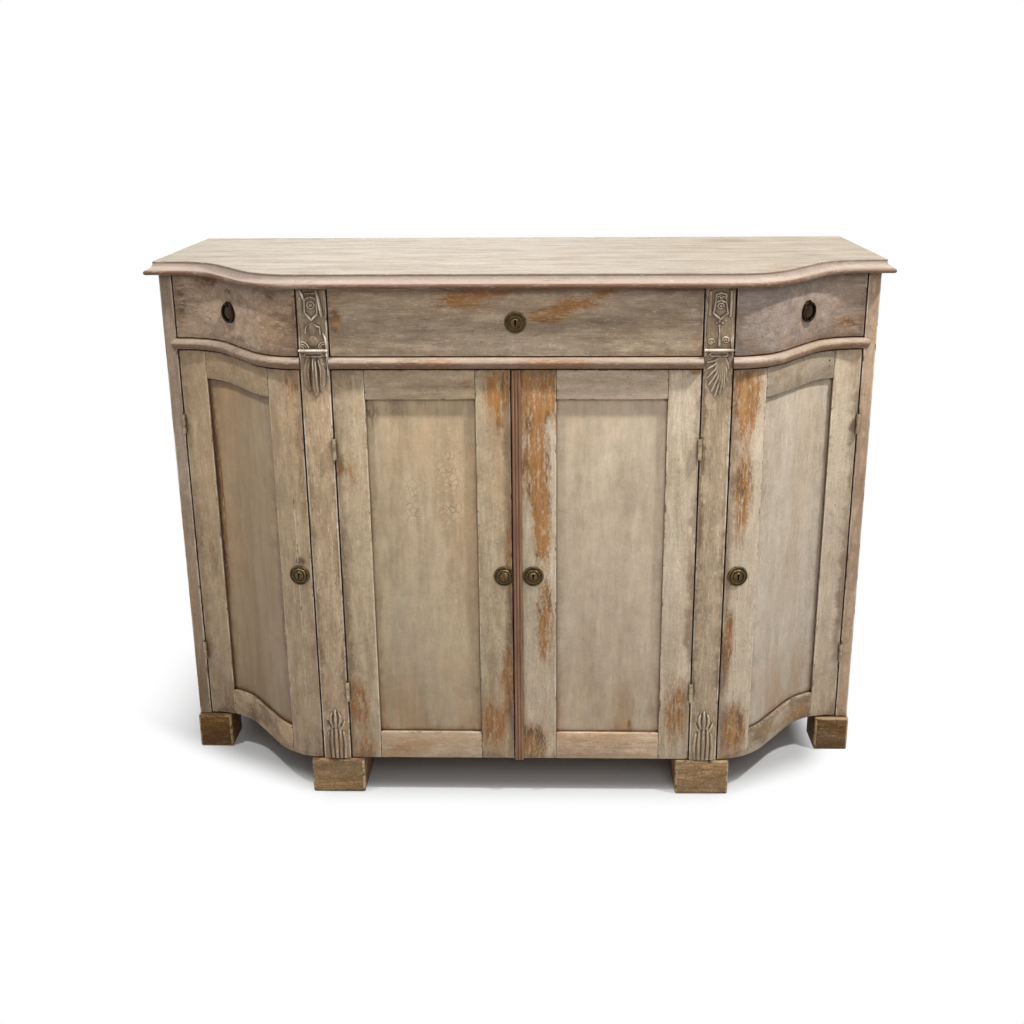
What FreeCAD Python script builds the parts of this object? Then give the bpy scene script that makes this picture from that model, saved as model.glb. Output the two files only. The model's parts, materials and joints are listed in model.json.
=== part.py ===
import FreeCAD, Part
import math
import os
import re
import Sketcher

# A buffet with a serpentine front. X runs along it to the right, Y to its back and Z up.
# The origin is on the floor, at the middle of the top board's plan.

# Driving sizes in millimetres, each set by itself.
SIZES = {
    "overall_height": 1000.0,     # floor to the top board's upper face
    "body_width": 1316.0,         # over the two side boards
    "body_depth": 480.0,          # pilaster face to the back
    "centre_opening": 640.0,      # between the pilasters
    "end_setback": 155.0,         # how far the ends stand behind the pilaster face
    "end_flat": 12.0,             # flat run of the front beside each side board
    "ogee_straight": 90.0,        # straight middle of each S-curve
    "foot_height": 72.0,
    "drawer_zone": 121.0,         # waist bead to the top board
    "bead_height": 20.0,
    "bead_tail": 11.0,            # run of an end bead over the side board's edge
    "top_overhang": 20.0,
    "top_thickness": 24.0,
    "lip_radius": 4.5,            # rounded nose of the top board
    "cove_width": 13.7,           # lip to upper edge, in plan
    "cove_hollow": 3.0,           # depth of the cove
    "edge_round": 2.0,            # upper edge of the top board
    "pilaster_width": 51.0,
    "pilaster_depth": 50.0,
    "side_thickness": 23.0,
    "board_thickness": 20.0,      # partitions, bottom, decks and shelves
    "back_thickness": 12.0,
    "back_gap": 1.0,              # between the upright boards of the back
    "reveal": 2.0,                # gap round each door and drawer front
    "run_gap": 0.5,               # running gap under and beside a drawer
    "fit_gap": 0.3,               # slack of a panel in its groove
    "door_thickness": 22.0,
    "door_seat": 1.0,             # gap between a door and the bottom board's edge
    "hinge_stile": 56.0,
    "lock_stile": 61.0,
    "end_inner_stile": 60.0,
    "end_outer_stile": 51.0,
    "top_rail": 53.0,
    "bottom_rail": 55.0,
    "panel_recess": 7.0,
    "panel_thickness": 8.0,
    "groove_depth": 8.0,
    "meeting_lap": 7.5,           # how far the right door runs past the middle
    "strip_width": 16.0,
    "strip_groove": 2.0,          # width of the flat between the strip's two reeds
    "plate_radius": 19.0,
    "plate_thickness": 2.0,
    "plate_step": 1.5,            # height of each of the plate's two inner steps
    "plate_ring": 13.5,           # radius of the middle step
    "plate_core": 8.0,            # radius of the inner step
    "key_radius": 2.7,
    "key_slot": 3.4,
    "key_rise": 3.0,              # plate's middle to the middle of the keyhole's round head
    "key_drop": 6.5,              # plate's middle to the keyhole's foot
    "lock_height": 449.0,         # floor to the keyholes of the doors
    "plate_trim": 4.0,            # cut off the left door's plate at the meeting edge
    "plate_gap": 0.5,             # meeting strip to the right door's plate
    "plate_edge": 4.0,            # edge of an end door to its plate
    "case_inset": 2.0,
    "case_width": 40.0,
    "case_height": 60.0,
    "case_wall": 3.0,
    "end_lock_standoff": 10.0,    # room for the curved stile in front of an end door's bolt
    "bolt_height": 18.0,
    "bolt_thickness": 8.0,
    "bolt_length": 16.0,
    "bolt_throw": 10.0,
    "bolt_gap": 0.5,
    "mortise_room": 3.0,          # beyond the end of a thrown bolt
    "knuckle_radius": 3.5,
    "knuckle_gap": 0.4,
    "hinge_stand": 0.5,           # knuckle to the door's face
    "hinge_length": 38.0,
    "hinge_place": 142.0,         # end of a door to the middle of its hinge
    "leaf_width": 18.0,
    "leaf_slack": 0.2,
    "pin_radius": 1.6,
    "pin_clearance": 0.05,
    "pin_end": 1.5,
    "drawer_front_thickness": 20.0,
    "drawer_side": 12.0,
    "drawer_drop": 20.0,          # a drawer's sides below the head of its front
    "drawer_bottom": 8.0,
    "drawer_bottom_rise": 8.0,
    "drawer_tail": 13.0,          # space behind a closed drawer
    "guide_height": 25.0,
    "shelf_rise": 21.0,           # door locks to the shelves
    "shelf_gap": 6.0,             # door to shelf
    "cleat": 18.0,
    "cleat_setback": 90.0,
    "front_foot_width": 100.0,
    "front_foot_proud": 3.0,
    "end_foot_width": 67.0,
    "end_foot_proud": 8.0,
    "end_foot_aside": 2.0,
    "pull_radius": 18.5,
    "pull_plate": 2.5,
    "pull_dome": 3.0,
    "pull_margin": 2.5,           # pull to the outer end of the S-curve's straight
    "ring_wire": 2.0,             # radius of the ring's wire
    "ring_gap": 0.6,
    "eye_width": 5.0,
    "eye_wall": 1.6,
    "capital_margin": 4.0,        # pilaster's edge to the capital
    "capital_ground": 2.5,
    "shield_width": 24.0,
    "shield_height": 40.0,
    "shield_proud": 6.0,
    "shield_drop": 18.0,          # top board to the shield
    "boss_radius": 5.0,
    "boss_proud": 9.0,
    "strap_width": 6.0,
    "strap_height": 50.0,
    "strap_proud": 5.0,
    "strap_drop": 6.0,
    "vase_width": 16.0,
    "volute_radius": 6.5,
    "volute_proud": 7.0,
    "ledge_margin": 2.5,
    "roll_inset": 1.6,
    "ledge_rise": 10.0,           # bead's top to the ledge
    "ledge_height": 5.0,
    "ledge_proud": 11.0,
    "roll_height": 8.0,
    "roll_proud": 8.0,
    "leaf_drop": 81.0,            # length of the leaf below the ledge
    "leaf_margin": 6.5,
    "leaf_proud": 6.0,
    "base_leaf_height": 104.0,
    "base_leaf_margin": 5.5,
}

# Places that follow from the driving sizes.
DERIVED = {
    "half_opening": "centre_opening / 2",
    "pilaster_out": "half_opening + pilaster_width",
    "pilaster_middle": "half_opening + pilaster_width / 2",
    "pilaster_back": "front + pilaster_depth",
    "partition_in": "pilaster_middle - board_thickness / 2",
    "partition_out": "pilaster_middle + board_thickness / 2",
    "side_out": "body_width / 2",
    "side_in": "side_out - side_thickness",
    "front": "(top_overhang - body_depth) / 2",
    "back": "(top_overhang + body_depth) / 2",
    "back_in": "back - back_thickness",
    "end_front": "front + end_setback",
    "top_under": "overall_height - top_thickness",
    "drawer_floor": "top_under - drawer_zone",
    "bead_under": "drawer_floor - bead_height",
    "bead_radius": "bead_height / 2",
    "ogee_out": "side_in - end_flat",
    "ogee_run": "ogee_out - pilaster_out",
    "ogee_radius": "(ogee_run^2 + end_setback^2 - ogee_straight^2) / (4 * end_setback)",
    "ogee_angle": "atan(2 * ogee_radius / ogee_straight)"
                  " - atan((2 * ogee_radius - end_setback) / ogee_run)",
    "floor_inset": "door_thickness + door_seat",
    "shelf_inset": "door_thickness + shelf_gap",
    "door_foot": "foot_height + reveal",
    "door_head": "bead_under - reveal",
    "door_back": "front + door_thickness",
    "panel_foot": "door_foot + bottom_rail",
    "panel_head": "door_head - top_rail",
    "door_edge": "half_opening - reveal",
    "end_edge_in": "pilaster_out + reveal",
    "end_edge_out": "side_in - reveal",
    "drawer_foot": "drawer_floor + reveal",
    "drawer_head": "top_under - reveal",
    "drawer_key": "(drawer_floor + top_under) / 2",
    "drawer_rear": "back_in - drawer_tail",
    "drawer_side_foot": "drawer_floor + run_gap",
    "drawer_side_head": "drawer_head - drawer_drop",
    "drawer_board_foot": "drawer_floor + drawer_bottom_rise",
    "drawer_board_head": "drawer_board_foot + drawer_bottom",
    "left_plate_place": "meeting_lap + reveal + plate_radius - plate_trim",
    "right_plate_place": "strip_width - meeting_lap + plate_gap + plate_radius",
    "end_plate_place": "reveal + plate_edge + plate_radius",
    "plate_turn": "asin(end_plate_place / ogee_radius)",
    "plate_sink": "plate_radius^2 / ogee_radius",
    "end_bolt_front": "door_back + end_lock_standoff",
    "drawer_bolt_front": "front + drawer_front_thickness + case_wall",
    "mortise_depth": "bolt_throw - case_inset - bolt_gap - reveal + mortise_room",
    "shelf_under": "lock_height + case_height / 2 + shelf_rise",
    "hinge_proud": "knuckle_radius + hinge_stand",
    "top_reach": "top_overhang - cove_width",
    "cove_fall": "top_thickness - edge_round - 2 * lip_radius",
    "cove_chord": "sqrt((cove_width - lip_radius)^2 + cove_fall^2)",
    "cove_radius": "(cove_chord^2 / 4 + cove_hollow^2) / (2 * cove_hollow)",
    "ring_radius": "pull_radius - ring_wire",
    "ring_stand": "pull_plate + ring_gap + ring_wire",
    "capital_width": "pilaster_width - 2 * capital_margin",
    "ledge_width": "pilaster_width - 2 * ledge_margin",
    "leaf_spread": "pilaster_width - 2 * leaf_margin",
    "base_leaf_spread": "pilaster_width - 2 * base_leaf_margin",
    "ledge_foot": "drawer_floor + ledge_rise",
    "ledge_head": "ledge_foot + ledge_height",
    "leaf_top": "ledge_foot - roll_height / 2",
}

BACK_BOARDS = 5
WORD = re.compile(r"[a-z][a-z0-9_]*")

doc = FreeCAD.newDocument("Buffet")
sizes = doc.addObject("Spreadsheet::Sheet", "Sizes")
for row, (alias, size) in enumerate(SIZES.items(), start=1):
    sizes.set(f"A{row}", alias)
    sizes.set(f"B{row}", str(size))
    sizes.setAlias(f"B{row}", alias)
doc.recompute()

nodes = []


def expr(text):
    """Spell out a size in terms of the sheet's cells."""
    def spell(match):
        word = match.group()
        if word in SIZES:
            return "Sizes." + word
        if word in DERIVED:
            return "(" + expr(DERIVED[word]) + ")"
        return word
    return WORD.sub(spell, text)


def number(text):
    """The present value of a size."""
    result = sizes.evalExpression(expr(text))
    return getattr(result, "Value", result)


def span(side, near, far):
    """A stretch along X, from near to far out from the middle, on one side."""
    if side > 0:
        return near, far
    return f"-({far})", f"-({near})"


def keep(piece, label):
    """Make a document object one of the buffet's named pieces."""
    piece.Label = label
    nodes.append(piece)
    return piece


def box(name, x, y, z):
    """A board between two places along each axis."""
    board = doc.addObject("Part::Box", name)
    for axis, size, (low, high) in zip("xyz", ("Length", "Width", "Height"), (x, y, z)):
        board.setExpression(size, expr(f"({high}) - ({low})"))
        board.setExpression(f"Placement.Base.{axis}", expr(low))
    return board


def upright(name, x, y, radius, z):
    """A round bar along Z."""
    bar = doc.addObject("Part::Cylinder", name)
    bar.setExpression("Radius", expr(radius))
    bar.setExpression("Height", expr(f"({z[1]}) - ({z[0]})"))
    for axis, place in zip("xyz", (x, y, z[0])):
        bar.setExpression(f"Placement.Base.{axis}", expr(place))
    return bar


def cut(name, base, tool):
    result = doc.addObject("Part::Cut", name)
    result.Base = base
    result.Tool = tool
    return result


def common(name, base, tool):
    result = doc.addObject("Part::Common", name)
    result.Base = base
    result.Tool = tool
    return result


def fuse(name, pieces):
    result = doc.addObject("Part::MultiFuse", name)
    result.Shapes = pieces
    return result


def group(label, pieces):
    """Several separate solids that share one name."""
    result = doc.addObject("Part::Compound", label)
    result.Links = pieces
    return keep(result, label)


def arc_between(start, end, radius, turn):
    """The short arc from start to end, to the left for turn 1 and to the right for turn -1."""
    chord = end - start
    rise = math.sqrt(max(radius ** 2 - chord.Length ** 2 / 4, 0))
    across = FreeCAD.Vector(-chord.y, chord.x, 0).normalize()
    centre = start + chord * 0.5 + across * rise * turn
    first, last = (start, end) if turn > 0 else (end, start)
    angles = [math.atan2(point.y - centre.y, point.x - centre.x) for point in (first, last)]
    circle = Part.Circle(centre, FreeCAD.Vector(0, 0, 1), radius)
    return Part.ArcOfCircle(circle, angles[0], angles[1])


def draw(sketch, corners, closed=True):
    """Draw a dimensioned outline. Each corner is x, y and the bend of the run that leaves it."""
    points = [FreeCAD.Vector(number(x), number(y), 0) for x, y, bend in corners]
    runs = len(corners) if closed else len(corners) - 1
    ends = []
    for run in range(runs):
        start, end = points[run], points[(run + 1) % len(points)]
        bend = corners[run][2]
        if bend:
            radius, turn = bend
            sketch.addGeometry(arc_between(start, end, number(radius), turn), False)
            ends.append((1, 2) if turn > 0 else (2, 1))
            dimension(sketch, ("Radius", run), radius)
        else:
            sketch.addGeometry(Part.LineSegment(start, end), False)
            ends.append((1, 2))
    for run in range(runs):
        following = (run + 1) % runs
        if closed or following:
            sketch.addConstraint(
                Sketcher.Constraint("Coincident", run, ends[run][1], following, ends[following][0]))
        place_point(sketch, run, ends[run][0], corners[run])
    if not closed:
        place_point(sketch, runs - 1, ends[-1][1], corners[-1])


def dimension(sketch, what, size):
    """Add one dimension and bind it to the sheet."""
    index = sketch.addConstraint(Sketcher.Constraint(*what, number(size)))
    sketch.setExpression(f"Constraints[{index}]", expr(size))


def place_point(sketch, run, end, corner):
    dimension(sketch, ("DistanceX", -1, 1, run, end), corner[0])
    dimension(sketch, ("DistanceY", -1, 1, run, end), corner[1])


def draw_circle(sketch, x, y, radius):
    centre = FreeCAD.Vector(number(x), number(y), 0)
    circle = Part.Circle(centre, FreeCAD.Vector(0, 0, 1), number(radius))
    index = sketch.addGeometry(circle, False)
    dimension(sketch, ("Radius", index), radius)
    place_point(sketch, index, 3, (x, y))


def new_sketch(part, role, offset="0"):
    """A sketch on one of the body's own planes, moved along its normal."""
    sketch = part.newObject("Sketcher::SketchObject", part.Name + "_sketch")
    plane = next(item for item in part.Origin.OriginFeatures if item.Role == role)
    sketch.AttachmentSupport = [(plane, "")]
    sketch.MapMode = "FlatFace"
    sketch.setExpression("AttachmentOffset.Base.z", expr(offset))
    return sketch


def pad(part, sketch, length):
    feature = part.newObject("PartDesign::Pad", part.Name + "_pad")
    feature.Profile = sketch
    feature.setExpression("Length", expr(length))
    return feature


def plate(name, corners, z):
    """A board of one thickness, sawn to an outline in plan."""
    part = doc.addObject("PartDesign::Body", name)
    sketch = new_sketch(part, "XY_Plane", z[0])
    draw(sketch, corners)
    pad(part, sketch, f"({z[1]}) - ({z[0]})")
    return part


def pad_outward(part, corners, foot, length):
    """Raise an outline in X and Z towards the front, from foot in front of the XZ plane."""
    sketch = new_sketch(part, "XZ_Plane", foot)
    draw(sketch, corners)
    return pad(part, sketch, length)


def stand(part, x, y, z, turn="0"):
    """Place a body and turn it about the vertical, in degrees."""
    part.Placement.Rotation = FreeCAD.Rotation(FreeCAD.Vector(0, 0, 1), number(turn))
    part.setExpression("Placement.Rotation.Angle", expr(turn))
    for axis, place in zip("xyz", (x, y, z)):
        part.setExpression(f"Placement.Base.{axis}", expr(place))


def ogee(side, outset, backward=False):
    """Corners of one end's S-curve, from the pilaster outwards, set out from the face."""
    near = f"(ogee_radius + ({outset}))"
    far = f"(ogee_radius - ({outset}))"
    places = [
        ("pilaster_out", f"front - ({outset})"),
        (f"pilaster_out + {near} * sin(ogee_angle)", f"front + ogee_radius - {near} * cos(ogee_angle)"),
        (f"ogee_out - {far} * sin(ogee_angle)", f"end_front - ogee_radius + {far} * cos(ogee_angle)"),
        ("ogee_out", f"end_front - ({outset})"),
    ]
    bends = [(near, side), None, (far, -side), None]
    if backward:
        places.reverse()
        bends = [(far, side), None, (near, -side), None]
    return [(f"{side} * ({x})", y, bend) for (x, y), bend in zip(places, bends)]


def band(name, side, outer, inner, z):
    """A wall of even thickness along one end's S-curve, between two outsets from the face."""
    edge = f"{side} * side_in"
    corners = ogee(side, outer)
    corners += [(edge, f"end_front - ({outer})", None), (edge, f"end_front - ({inner})", None)]
    corners += ogee(side, inner, backward=True)
    return plate(name, corners, z)


def top_edge(outset):
    """The top board's front and ends as an open run, from the left rear corner."""
    corners = []
    end = f"side_out + ({outset})"
    corners += [(f"-({end})", "back", None), (f"-({end})", f"end_front - ({outset})", None)]
    corners += ogee(-1, outset, backward=True)
    corners += ogee(1, outset)
    corners += [(end, f"end_front - ({outset})", None), (end, "back", None)]
    return corners


def top_board():
    """A slab with a coved and lipped moulding round its front and ends."""
    part = doc.addObject("PartDesign::Body", "top_slab")
    slab = new_sketch(part, "XY_Plane", "top_under")
    draw(slab, top_edge("top_reach - edge_round"))
    pad(part, slab, "top_thickness")
    path = new_sketch(part, "XY_Plane", "top_under")
    draw(path, top_edge("top_reach"), closed=False)
    profile = new_sketch(part, "XZ_Plane", "-(back)")
    upper = "-(side_out + top_reach)"
    shoulder = f"{upper} - cove_width + lip_radius"
    tongue = f"{upper} + 2 * edge_round"
    lip_head = "top_under + 2 * lip_radius"
    draw(profile, [
        (tongue, "top_under", None),
        (tongue, "overall_height", None),
        (f"{upper} + edge_round", "overall_height", ("edge_round", 1)),
        (upper, "overall_height - edge_round", ("cove_radius", -1)),
        (shoulder, lip_head, ("lip_radius", 1)),
        (f"{upper} - cove_width", "top_under + lip_radius", ("lip_radius", 1)),
        (shoulder, "top_under", None),
    ])
    moulding = part.newObject("PartDesign::AdditivePipe", "top_moulding")
    moulding.Profile = profile
    moulding.Spine = (path, [])
    moulding.Transition = "Right corner"
    mortise = box("top_mortise",
                  ("-(bolt_height / 2 + bolt_gap)", "bolt_height / 2 + bolt_gap"),
                  ("drawer_bolt_front - bolt_gap", "drawer_bolt_front + bolt_thickness + bolt_gap"),
                  ("top_under", "top_under + mortise_depth"))
    keep(cut("top_board", part, mortise), "top_board")


def carcass_boards():
    """Sides, partitions, bottom, back, decks, shelves and their cleats."""
    for side, name in ((-1, "left"), (1, "right")):
        keep(box(name + "_side", span(side, "side_in", "side_out"),
                 ("end_front", "back"), ("foot_height", "top_under")), name + "_side")
    bottom_head = "foot_height + board_thickness"
    group("partitions", [
        box(name + "_partition", span(side, "partition_in", "partition_out"),
            ("pilaster_back", "back_in"), (bottom_head, "top_under"))
        for side, name in ((-1, "left"), (1, "right"))])
    keep(plate("bottom_board", bottom_outline(), ("foot_height", bottom_head)), "bottom_board")
    back_boards()
    drawer_decks()
    shelves()


def bottom_outline():
    """The bottom board's plan: behind the doors and notched round the pilasters."""
    front_edge = "front + floor_inset"
    end_edge = "end_front + floor_inset"
    corners = [("-(side_in)", "back_in", None), ("-(side_in)", end_edge, None)]
    corners += ogee(-1, "-(floor_inset)", backward=True)
    corners += [
        ("-(pilaster_out)", "pilaster_back", None),
        ("-(half_opening)", "pilaster_back", None),
        ("-(half_opening)", front_edge, None),
        ("half_opening", front_edge, None),
        ("half_opening", "pilaster_back", None),
        ("pilaster_out", "pilaster_back", None),
    ]
    corners += ogee(1, "-(floor_inset)")
    corners += [("side_in", end_edge, None), ("side_in", "back_in", None)]
    return corners


def back_boards():
    """Upright boards that close the back."""
    width = f"(2 * side_in - {BACK_BOARDS - 1} * back_gap) / {BACK_BOARDS}"
    boards = []
    for place in range(BACK_BOARDS):
        left = f"{place} * ({width} + back_gap) - side_in"
        boards.append(box(f"back_board_{place}", (left, f"{left} + {width}"),
                          ("back_in", "back"), ("foot_height", "top_under")))
    group("back_boards", boards)


def drawer_decks():
    """Boards under the drawers, with their front edges behind the waist beads."""
    z = ("bead_under", "drawer_floor")
    middle = plate("centre_deck", [
        ("-(half_opening)", "front", None),
        ("half_opening", "front", None),
        ("half_opening", "pilaster_back", None),
        ("partition_in", "pilaster_back", None),
        ("partition_in", "back_in", None),
        ("-(partition_in)", "back_in", None),
        ("-(partition_in)", "pilaster_back", None),
        ("-(half_opening)", "pilaster_back", None),
    ], z)
    decks = [middle]
    for side, name in ((-1, "left"), (1, "right")):
        corners = ogee(side, "0")
        corners += [(f"{side} * ({x})", y, None) for x, y in (
            ("side_in", "end_front"), ("side_in", "back_in"), ("partition_out", "back_in"),
            ("partition_out", "pilaster_back"), ("pilaster_out", "pilaster_back"))]
        decks.append(plate(name + "_deck", corners, z))
    group("drawer_decks", decks)
    guide_z = ("drawer_floor", "drawer_floor + guide_height")
    guide_y = ("pilaster_back", "back_in")
    guides = []
    for side, name in ((-1, "left"), (1, "right")):
        inner = span(side, "door_edge + run_gap", "partition_in")
        outer = span(side, "partition_out", "end_edge_in - run_gap")
        guides.append(box(name + "_inner_guide", inner, guide_y, guide_z))
        guides.append(box(name + "_outer_guide", outer, guide_y, guide_z))
    group("drawer_guides", guides)


def shelves():
    """One shelf in each cupboard, on cleats."""
    z = ("shelf_under", "shelf_under + board_thickness")
    boards = [plate("centre_shelf", [
        ("-(half_opening)", "front + shelf_inset", None),
        ("half_opening", "front + shelf_inset", None),
        ("half_opening", "pilaster_back", None),
        ("partition_in", "pilaster_back", None),
        ("partition_in", "back_in", None),
        ("-(partition_in)", "back_in", None),
        ("-(partition_in)", "pilaster_back", None),
        ("-(half_opening)", "pilaster_back", None),
    ], z)]
    cleats = []
    cleat_y = ("pilaster_back + cleat_setback", "back_in")
    cleat_z = ("shelf_under - cleat", "shelf_under")
    for side, name in ((-1, "left"), (1, "right")):
        corners = ogee(side, "-(shelf_inset)")
        corners += [(f"{side} * ({x})", y, None) for x, y in (
            ("side_in", "end_front + shelf_inset"), ("side_in", "back_in"), ("partition_out", "back_in"),
            ("partition_out", "pilaster_back"), ("pilaster_out", "pilaster_back"))]
        boards.append(plate(name + "_shelf", corners, z))
        end_y = ("end_front + cleat_setback", "back_in")
        for spot, near, far, y in (("inner", "partition_in - cleat", "partition_in", cleat_y),
                                   ("middle", "partition_out", "partition_out + cleat", cleat_y),
                                   ("outer", "side_in - cleat", "side_in", end_y)):
            cleats.append(box(f"{name}_{spot}_cleat", span(side, near, far), y, cleat_z))
    group("shelves", boards)
    group("shelf_cleats", cleats)


def pilasters():
    """Front posts, each with a mortise for the bolt of the end door beside it."""
    for side, name in ((-1, "left"), (1, "right")):
        post = box(name + "_post", span(side, "half_opening", "pilaster_out"),
                   ("front", "pilaster_back"), ("foot_height", "top_under"))
        mortise = box(name + "_post_mortise", span(side, "pilaster_out - mortise_depth", "pilaster_out"),
                      ("end_bolt_front - bolt_gap", "end_bolt_front + bolt_thickness + bolt_gap"),
                      ("lock_height - bolt_height / 2 - bolt_gap",
                       "lock_height + bolt_height / 2 + bolt_gap"))
        keep(cut(name + "_pilaster", post, mortise), name + "_pilaster")


def feet():
    """Block feet under the pilasters, the front ends and the rear corners."""
    z = ("0", "foot_height")
    aside = ("side_out + end_foot_aside - end_foot_width", "side_out + end_foot_aside")
    spots = {
        "front_feet": (("pilaster_middle - front_foot_width / 2", "pilaster_middle + front_foot_width / 2"),
                       ("front - front_foot_proud", "front - front_foot_proud + front_foot_width")),
        "end_feet": (aside, ("end_front - end_foot_proud", "end_front - end_foot_proud + end_foot_width")),
        "rear_feet": (aside, ("back - end_foot_width", "back")),
    }
    for label, ((near, far), y) in spots.items():
        group(label, [box(f"{label}_{name}", span(side, near, far), y, z)
                      for side, name in ((-1, "left"), (1, "right"))])


def bead_profile():
    """Half-round section of the waist bead, in Y and Z."""
    middle = "bead_under + bead_radius"
    return [
        ("front", "bead_under", None),
        ("front", "drawer_floor", ("bead_radius", 1)),
        ("front - bead_radius", middle, ("bead_radius", 1)),
    ]


def waist_beads():
    """A straight bead between the pilasters and a curved one with a rounded tail on each end."""
    straight = doc.addObject("PartDesign::Body", "centre_bead")
    section = new_sketch(straight, "YZ_Plane", "-(half_opening)")
    draw(section, bead_profile())
    pad(straight, section, "centre_opening")
    beads = [straight]
    tail = "side_in + bead_tail - bead_radius"
    middle = "bead_under + bead_radius"
    for side, name in ((-1, "left"), (1, "right")):
        curved = doc.addObject("PartDesign::Body", name + "_bead_run")
        path = new_sketch(curved, "XY_Plane", middle)
        draw(path, ogee(side, "0") + [(f"{side} * ({tail})", "end_front", None)], closed=False)
        section = new_sketch(curved, "YZ_Plane", f"{side} * pilaster_out")
        draw(section, bead_profile())
        run = curved.newObject("PartDesign::AdditivePipe", name + "_bead_pipe")
        run.Profile = section
        run.Spine = (path, [])
        nose = doc.addObject("Part::Sphere", name + "_bead_nose")
        nose.setExpression("Radius", expr("bead_radius"))
        nose.Angle3 = 180
        nose.Placement.Rotation = FreeCAD.Rotation(FreeCAD.Vector(0, 0, 1), 180)
        for axis, place in zip("xyz", (f"{side} * ({tail})", "end_front", middle)):
            nose.setExpression(f"Placement.Base.{axis}", expr(place))
        beads.append(fuse(name + "_bead", [curved, nose]))
    group("waist_beads", beads)


def carving(side, name):
    """The pilaster's carved work: a capital with its leaf drop, and a leaf at the foot."""
    capital = doc.addObject("PartDesign::Body", name + "_capital")
    half = "capital_width / 2"
    pad_outward(capital, block(half, "ledge_foot", "top_under - strap_drop"), "0", "capital_ground")
    shield_head = "top_under - shield_drop"
    shield_foot = "top_under - shield_drop - shield_height"
    shield_half = "shield_width / 2"
    pad_outward(capital, [
        ("-(shield_width / 3)", shield_head, None),
        (f"-({shield_half})", f"{shield_head} - shield_width / 3", None),
        (f"-({shield_half})", f"{shield_foot} + shield_width / 3", None),
        ("0", shield_foot, None),
        (shield_half, f"{shield_foot} + shield_width / 3", None),
        (shield_half, f"{shield_head} - shield_width / 3", None),
        ("shield_width / 3", shield_head, None),
    ], "0", "shield_proud")
    raise_disc(capital, "0", f"{shield_head} - shield_height / 3", "boss_radius", "boss_proud")
    strap_foot = "top_under - strap_drop - strap_height"
    for hand in (-1, 1):
        x = span(hand, f"{half} - strap_width", half)
        pad_outward(capital, [(x[0], strap_foot, None), (x[1], strap_foot, None),
                              (x[1], "top_under - strap_drop", None),
                              (x[0], "top_under - strap_drop", None)], "0", "strap_proud")
        raise_disc(capital, f"{hand} * ({half} - volute_radius)", "ledge_head + volute_radius",
                   "volute_radius", "volute_proud")
    pad_outward(capital, [
        ("-(vase_width / 4)", "ledge_head", None),
        ("vase_width / 4", "ledge_head", None),
        ("vase_width / 2", f"({shield_foot} + ledge_head) / 2", None),
        ("vase_width / 4", f"{shield_foot} + shield_width / 3", None),
        ("-(vase_width / 4)", f"{shield_foot} + shield_width / 3", None),
        ("-(vase_width / 2)", f"({shield_foot} + ledge_head) / 2", None),
    ], "0", "strap_proud")
    pad_outward(capital, block("ledge_width / 2", "ledge_foot", "ledge_head"), "0", "ledge_proud")
    pad_outward(capital, block("ledge_width / 2 - roll_inset", "ledge_foot - roll_height", "ledge_foot"),
                "0", "roll_proud")
    pad_outward(capital, leaf("leaf_spread", "leaf_top", "leaf_top - leaf_drop"), "0", "leaf_proud")
    stand(capital, f"{side} * pilaster_middle", "front", "0")
    foot_leaf = doc.addObject("PartDesign::Body", name + "_foot_leaf")
    leaf_foot = "foot_height + reveal"
    pad_outward(foot_leaf, leaf("base_leaf_spread", leaf_foot, f"{leaf_foot} + base_leaf_height"),
                "0", "leaf_proud")
    stand(foot_leaf, f"{side} * pilaster_middle", "front", "0")
    group(name + "_carving", [capital, foot_leaf])


def block(half, low, high):
    """A rectangle about the middle, in X and Z."""
    return [(f"-({half})", low, None), (half, low, None), (half, high, None), (f"-({half})", high, None)]


def leaf(spread, root, tip):
    """A lobed leaf outline that narrows from its root to a point."""
    reach = f"(({tip}) - ({root}))"
    shares = ((0.42, 0.0), (0.5, 0.35), (0.36, 0.62), (0.4, 0.78), (0.16, 0.86))
    right = [(f"{x} * {spread}", f"{root} + {z} * {reach}", None) for x, z in shares]
    left = [(f"-{x} * {spread}", f"{root} + {z} * {reach}", None) for x, z in reversed(shares)]
    return right + [("0", tip, None)] + left


def raise_disc(part, x, z, radius, length):
    sketch = new_sketch(part, "XZ_Plane")
    draw_circle(sketch, x, z, radius)
    pad(part, sketch, length)


def key_tool(name, place, turn="0"):
    """A keyhole-shaped bar that cuts through a plate, a stile and a lock's case."""
    part = doc.addObject("PartDesign::Body", name)
    shoulder = "key_rise - sqrt(key_radius^2 - key_slot^2 / 4)"
    pad_outward(part, [
        ("key_slot / 2", "-(key_drop)", None),
        ("key_slot / 2", shoulder, ("key_radius", 1)),
        ("0", "key_rise + key_radius", ("key_radius", 1)),
        ("-(key_slot / 2)", shoulder, None),
        ("-(key_slot / 2)", "-(key_drop)", None),
    ], "-(door_thickness + case_wall)", "2 * door_thickness + case_wall")
    stand(part, *place, turn)
    return part


def key_plate(name, place, turn="0", sink="0"):
    """A round stepped keyhole plate, let in far enough to follow a curved face."""
    part = doc.addObject("PartDesign::Body", name)
    for radius, proud in (("plate_radius", "plate_thickness"),
                          ("plate_ring", "plate_thickness + plate_step"),
                          ("plate_core", "plate_thickness + 2 * plate_step")):
        sketch = new_sketch(part, "XZ_Plane", f"-({sink})")
        draw_circle(sketch, "0", "0", radius)
        pad(part, sketch, f"{proud} + {sink}")
    stand(part, *place, turn)
    return part


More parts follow.
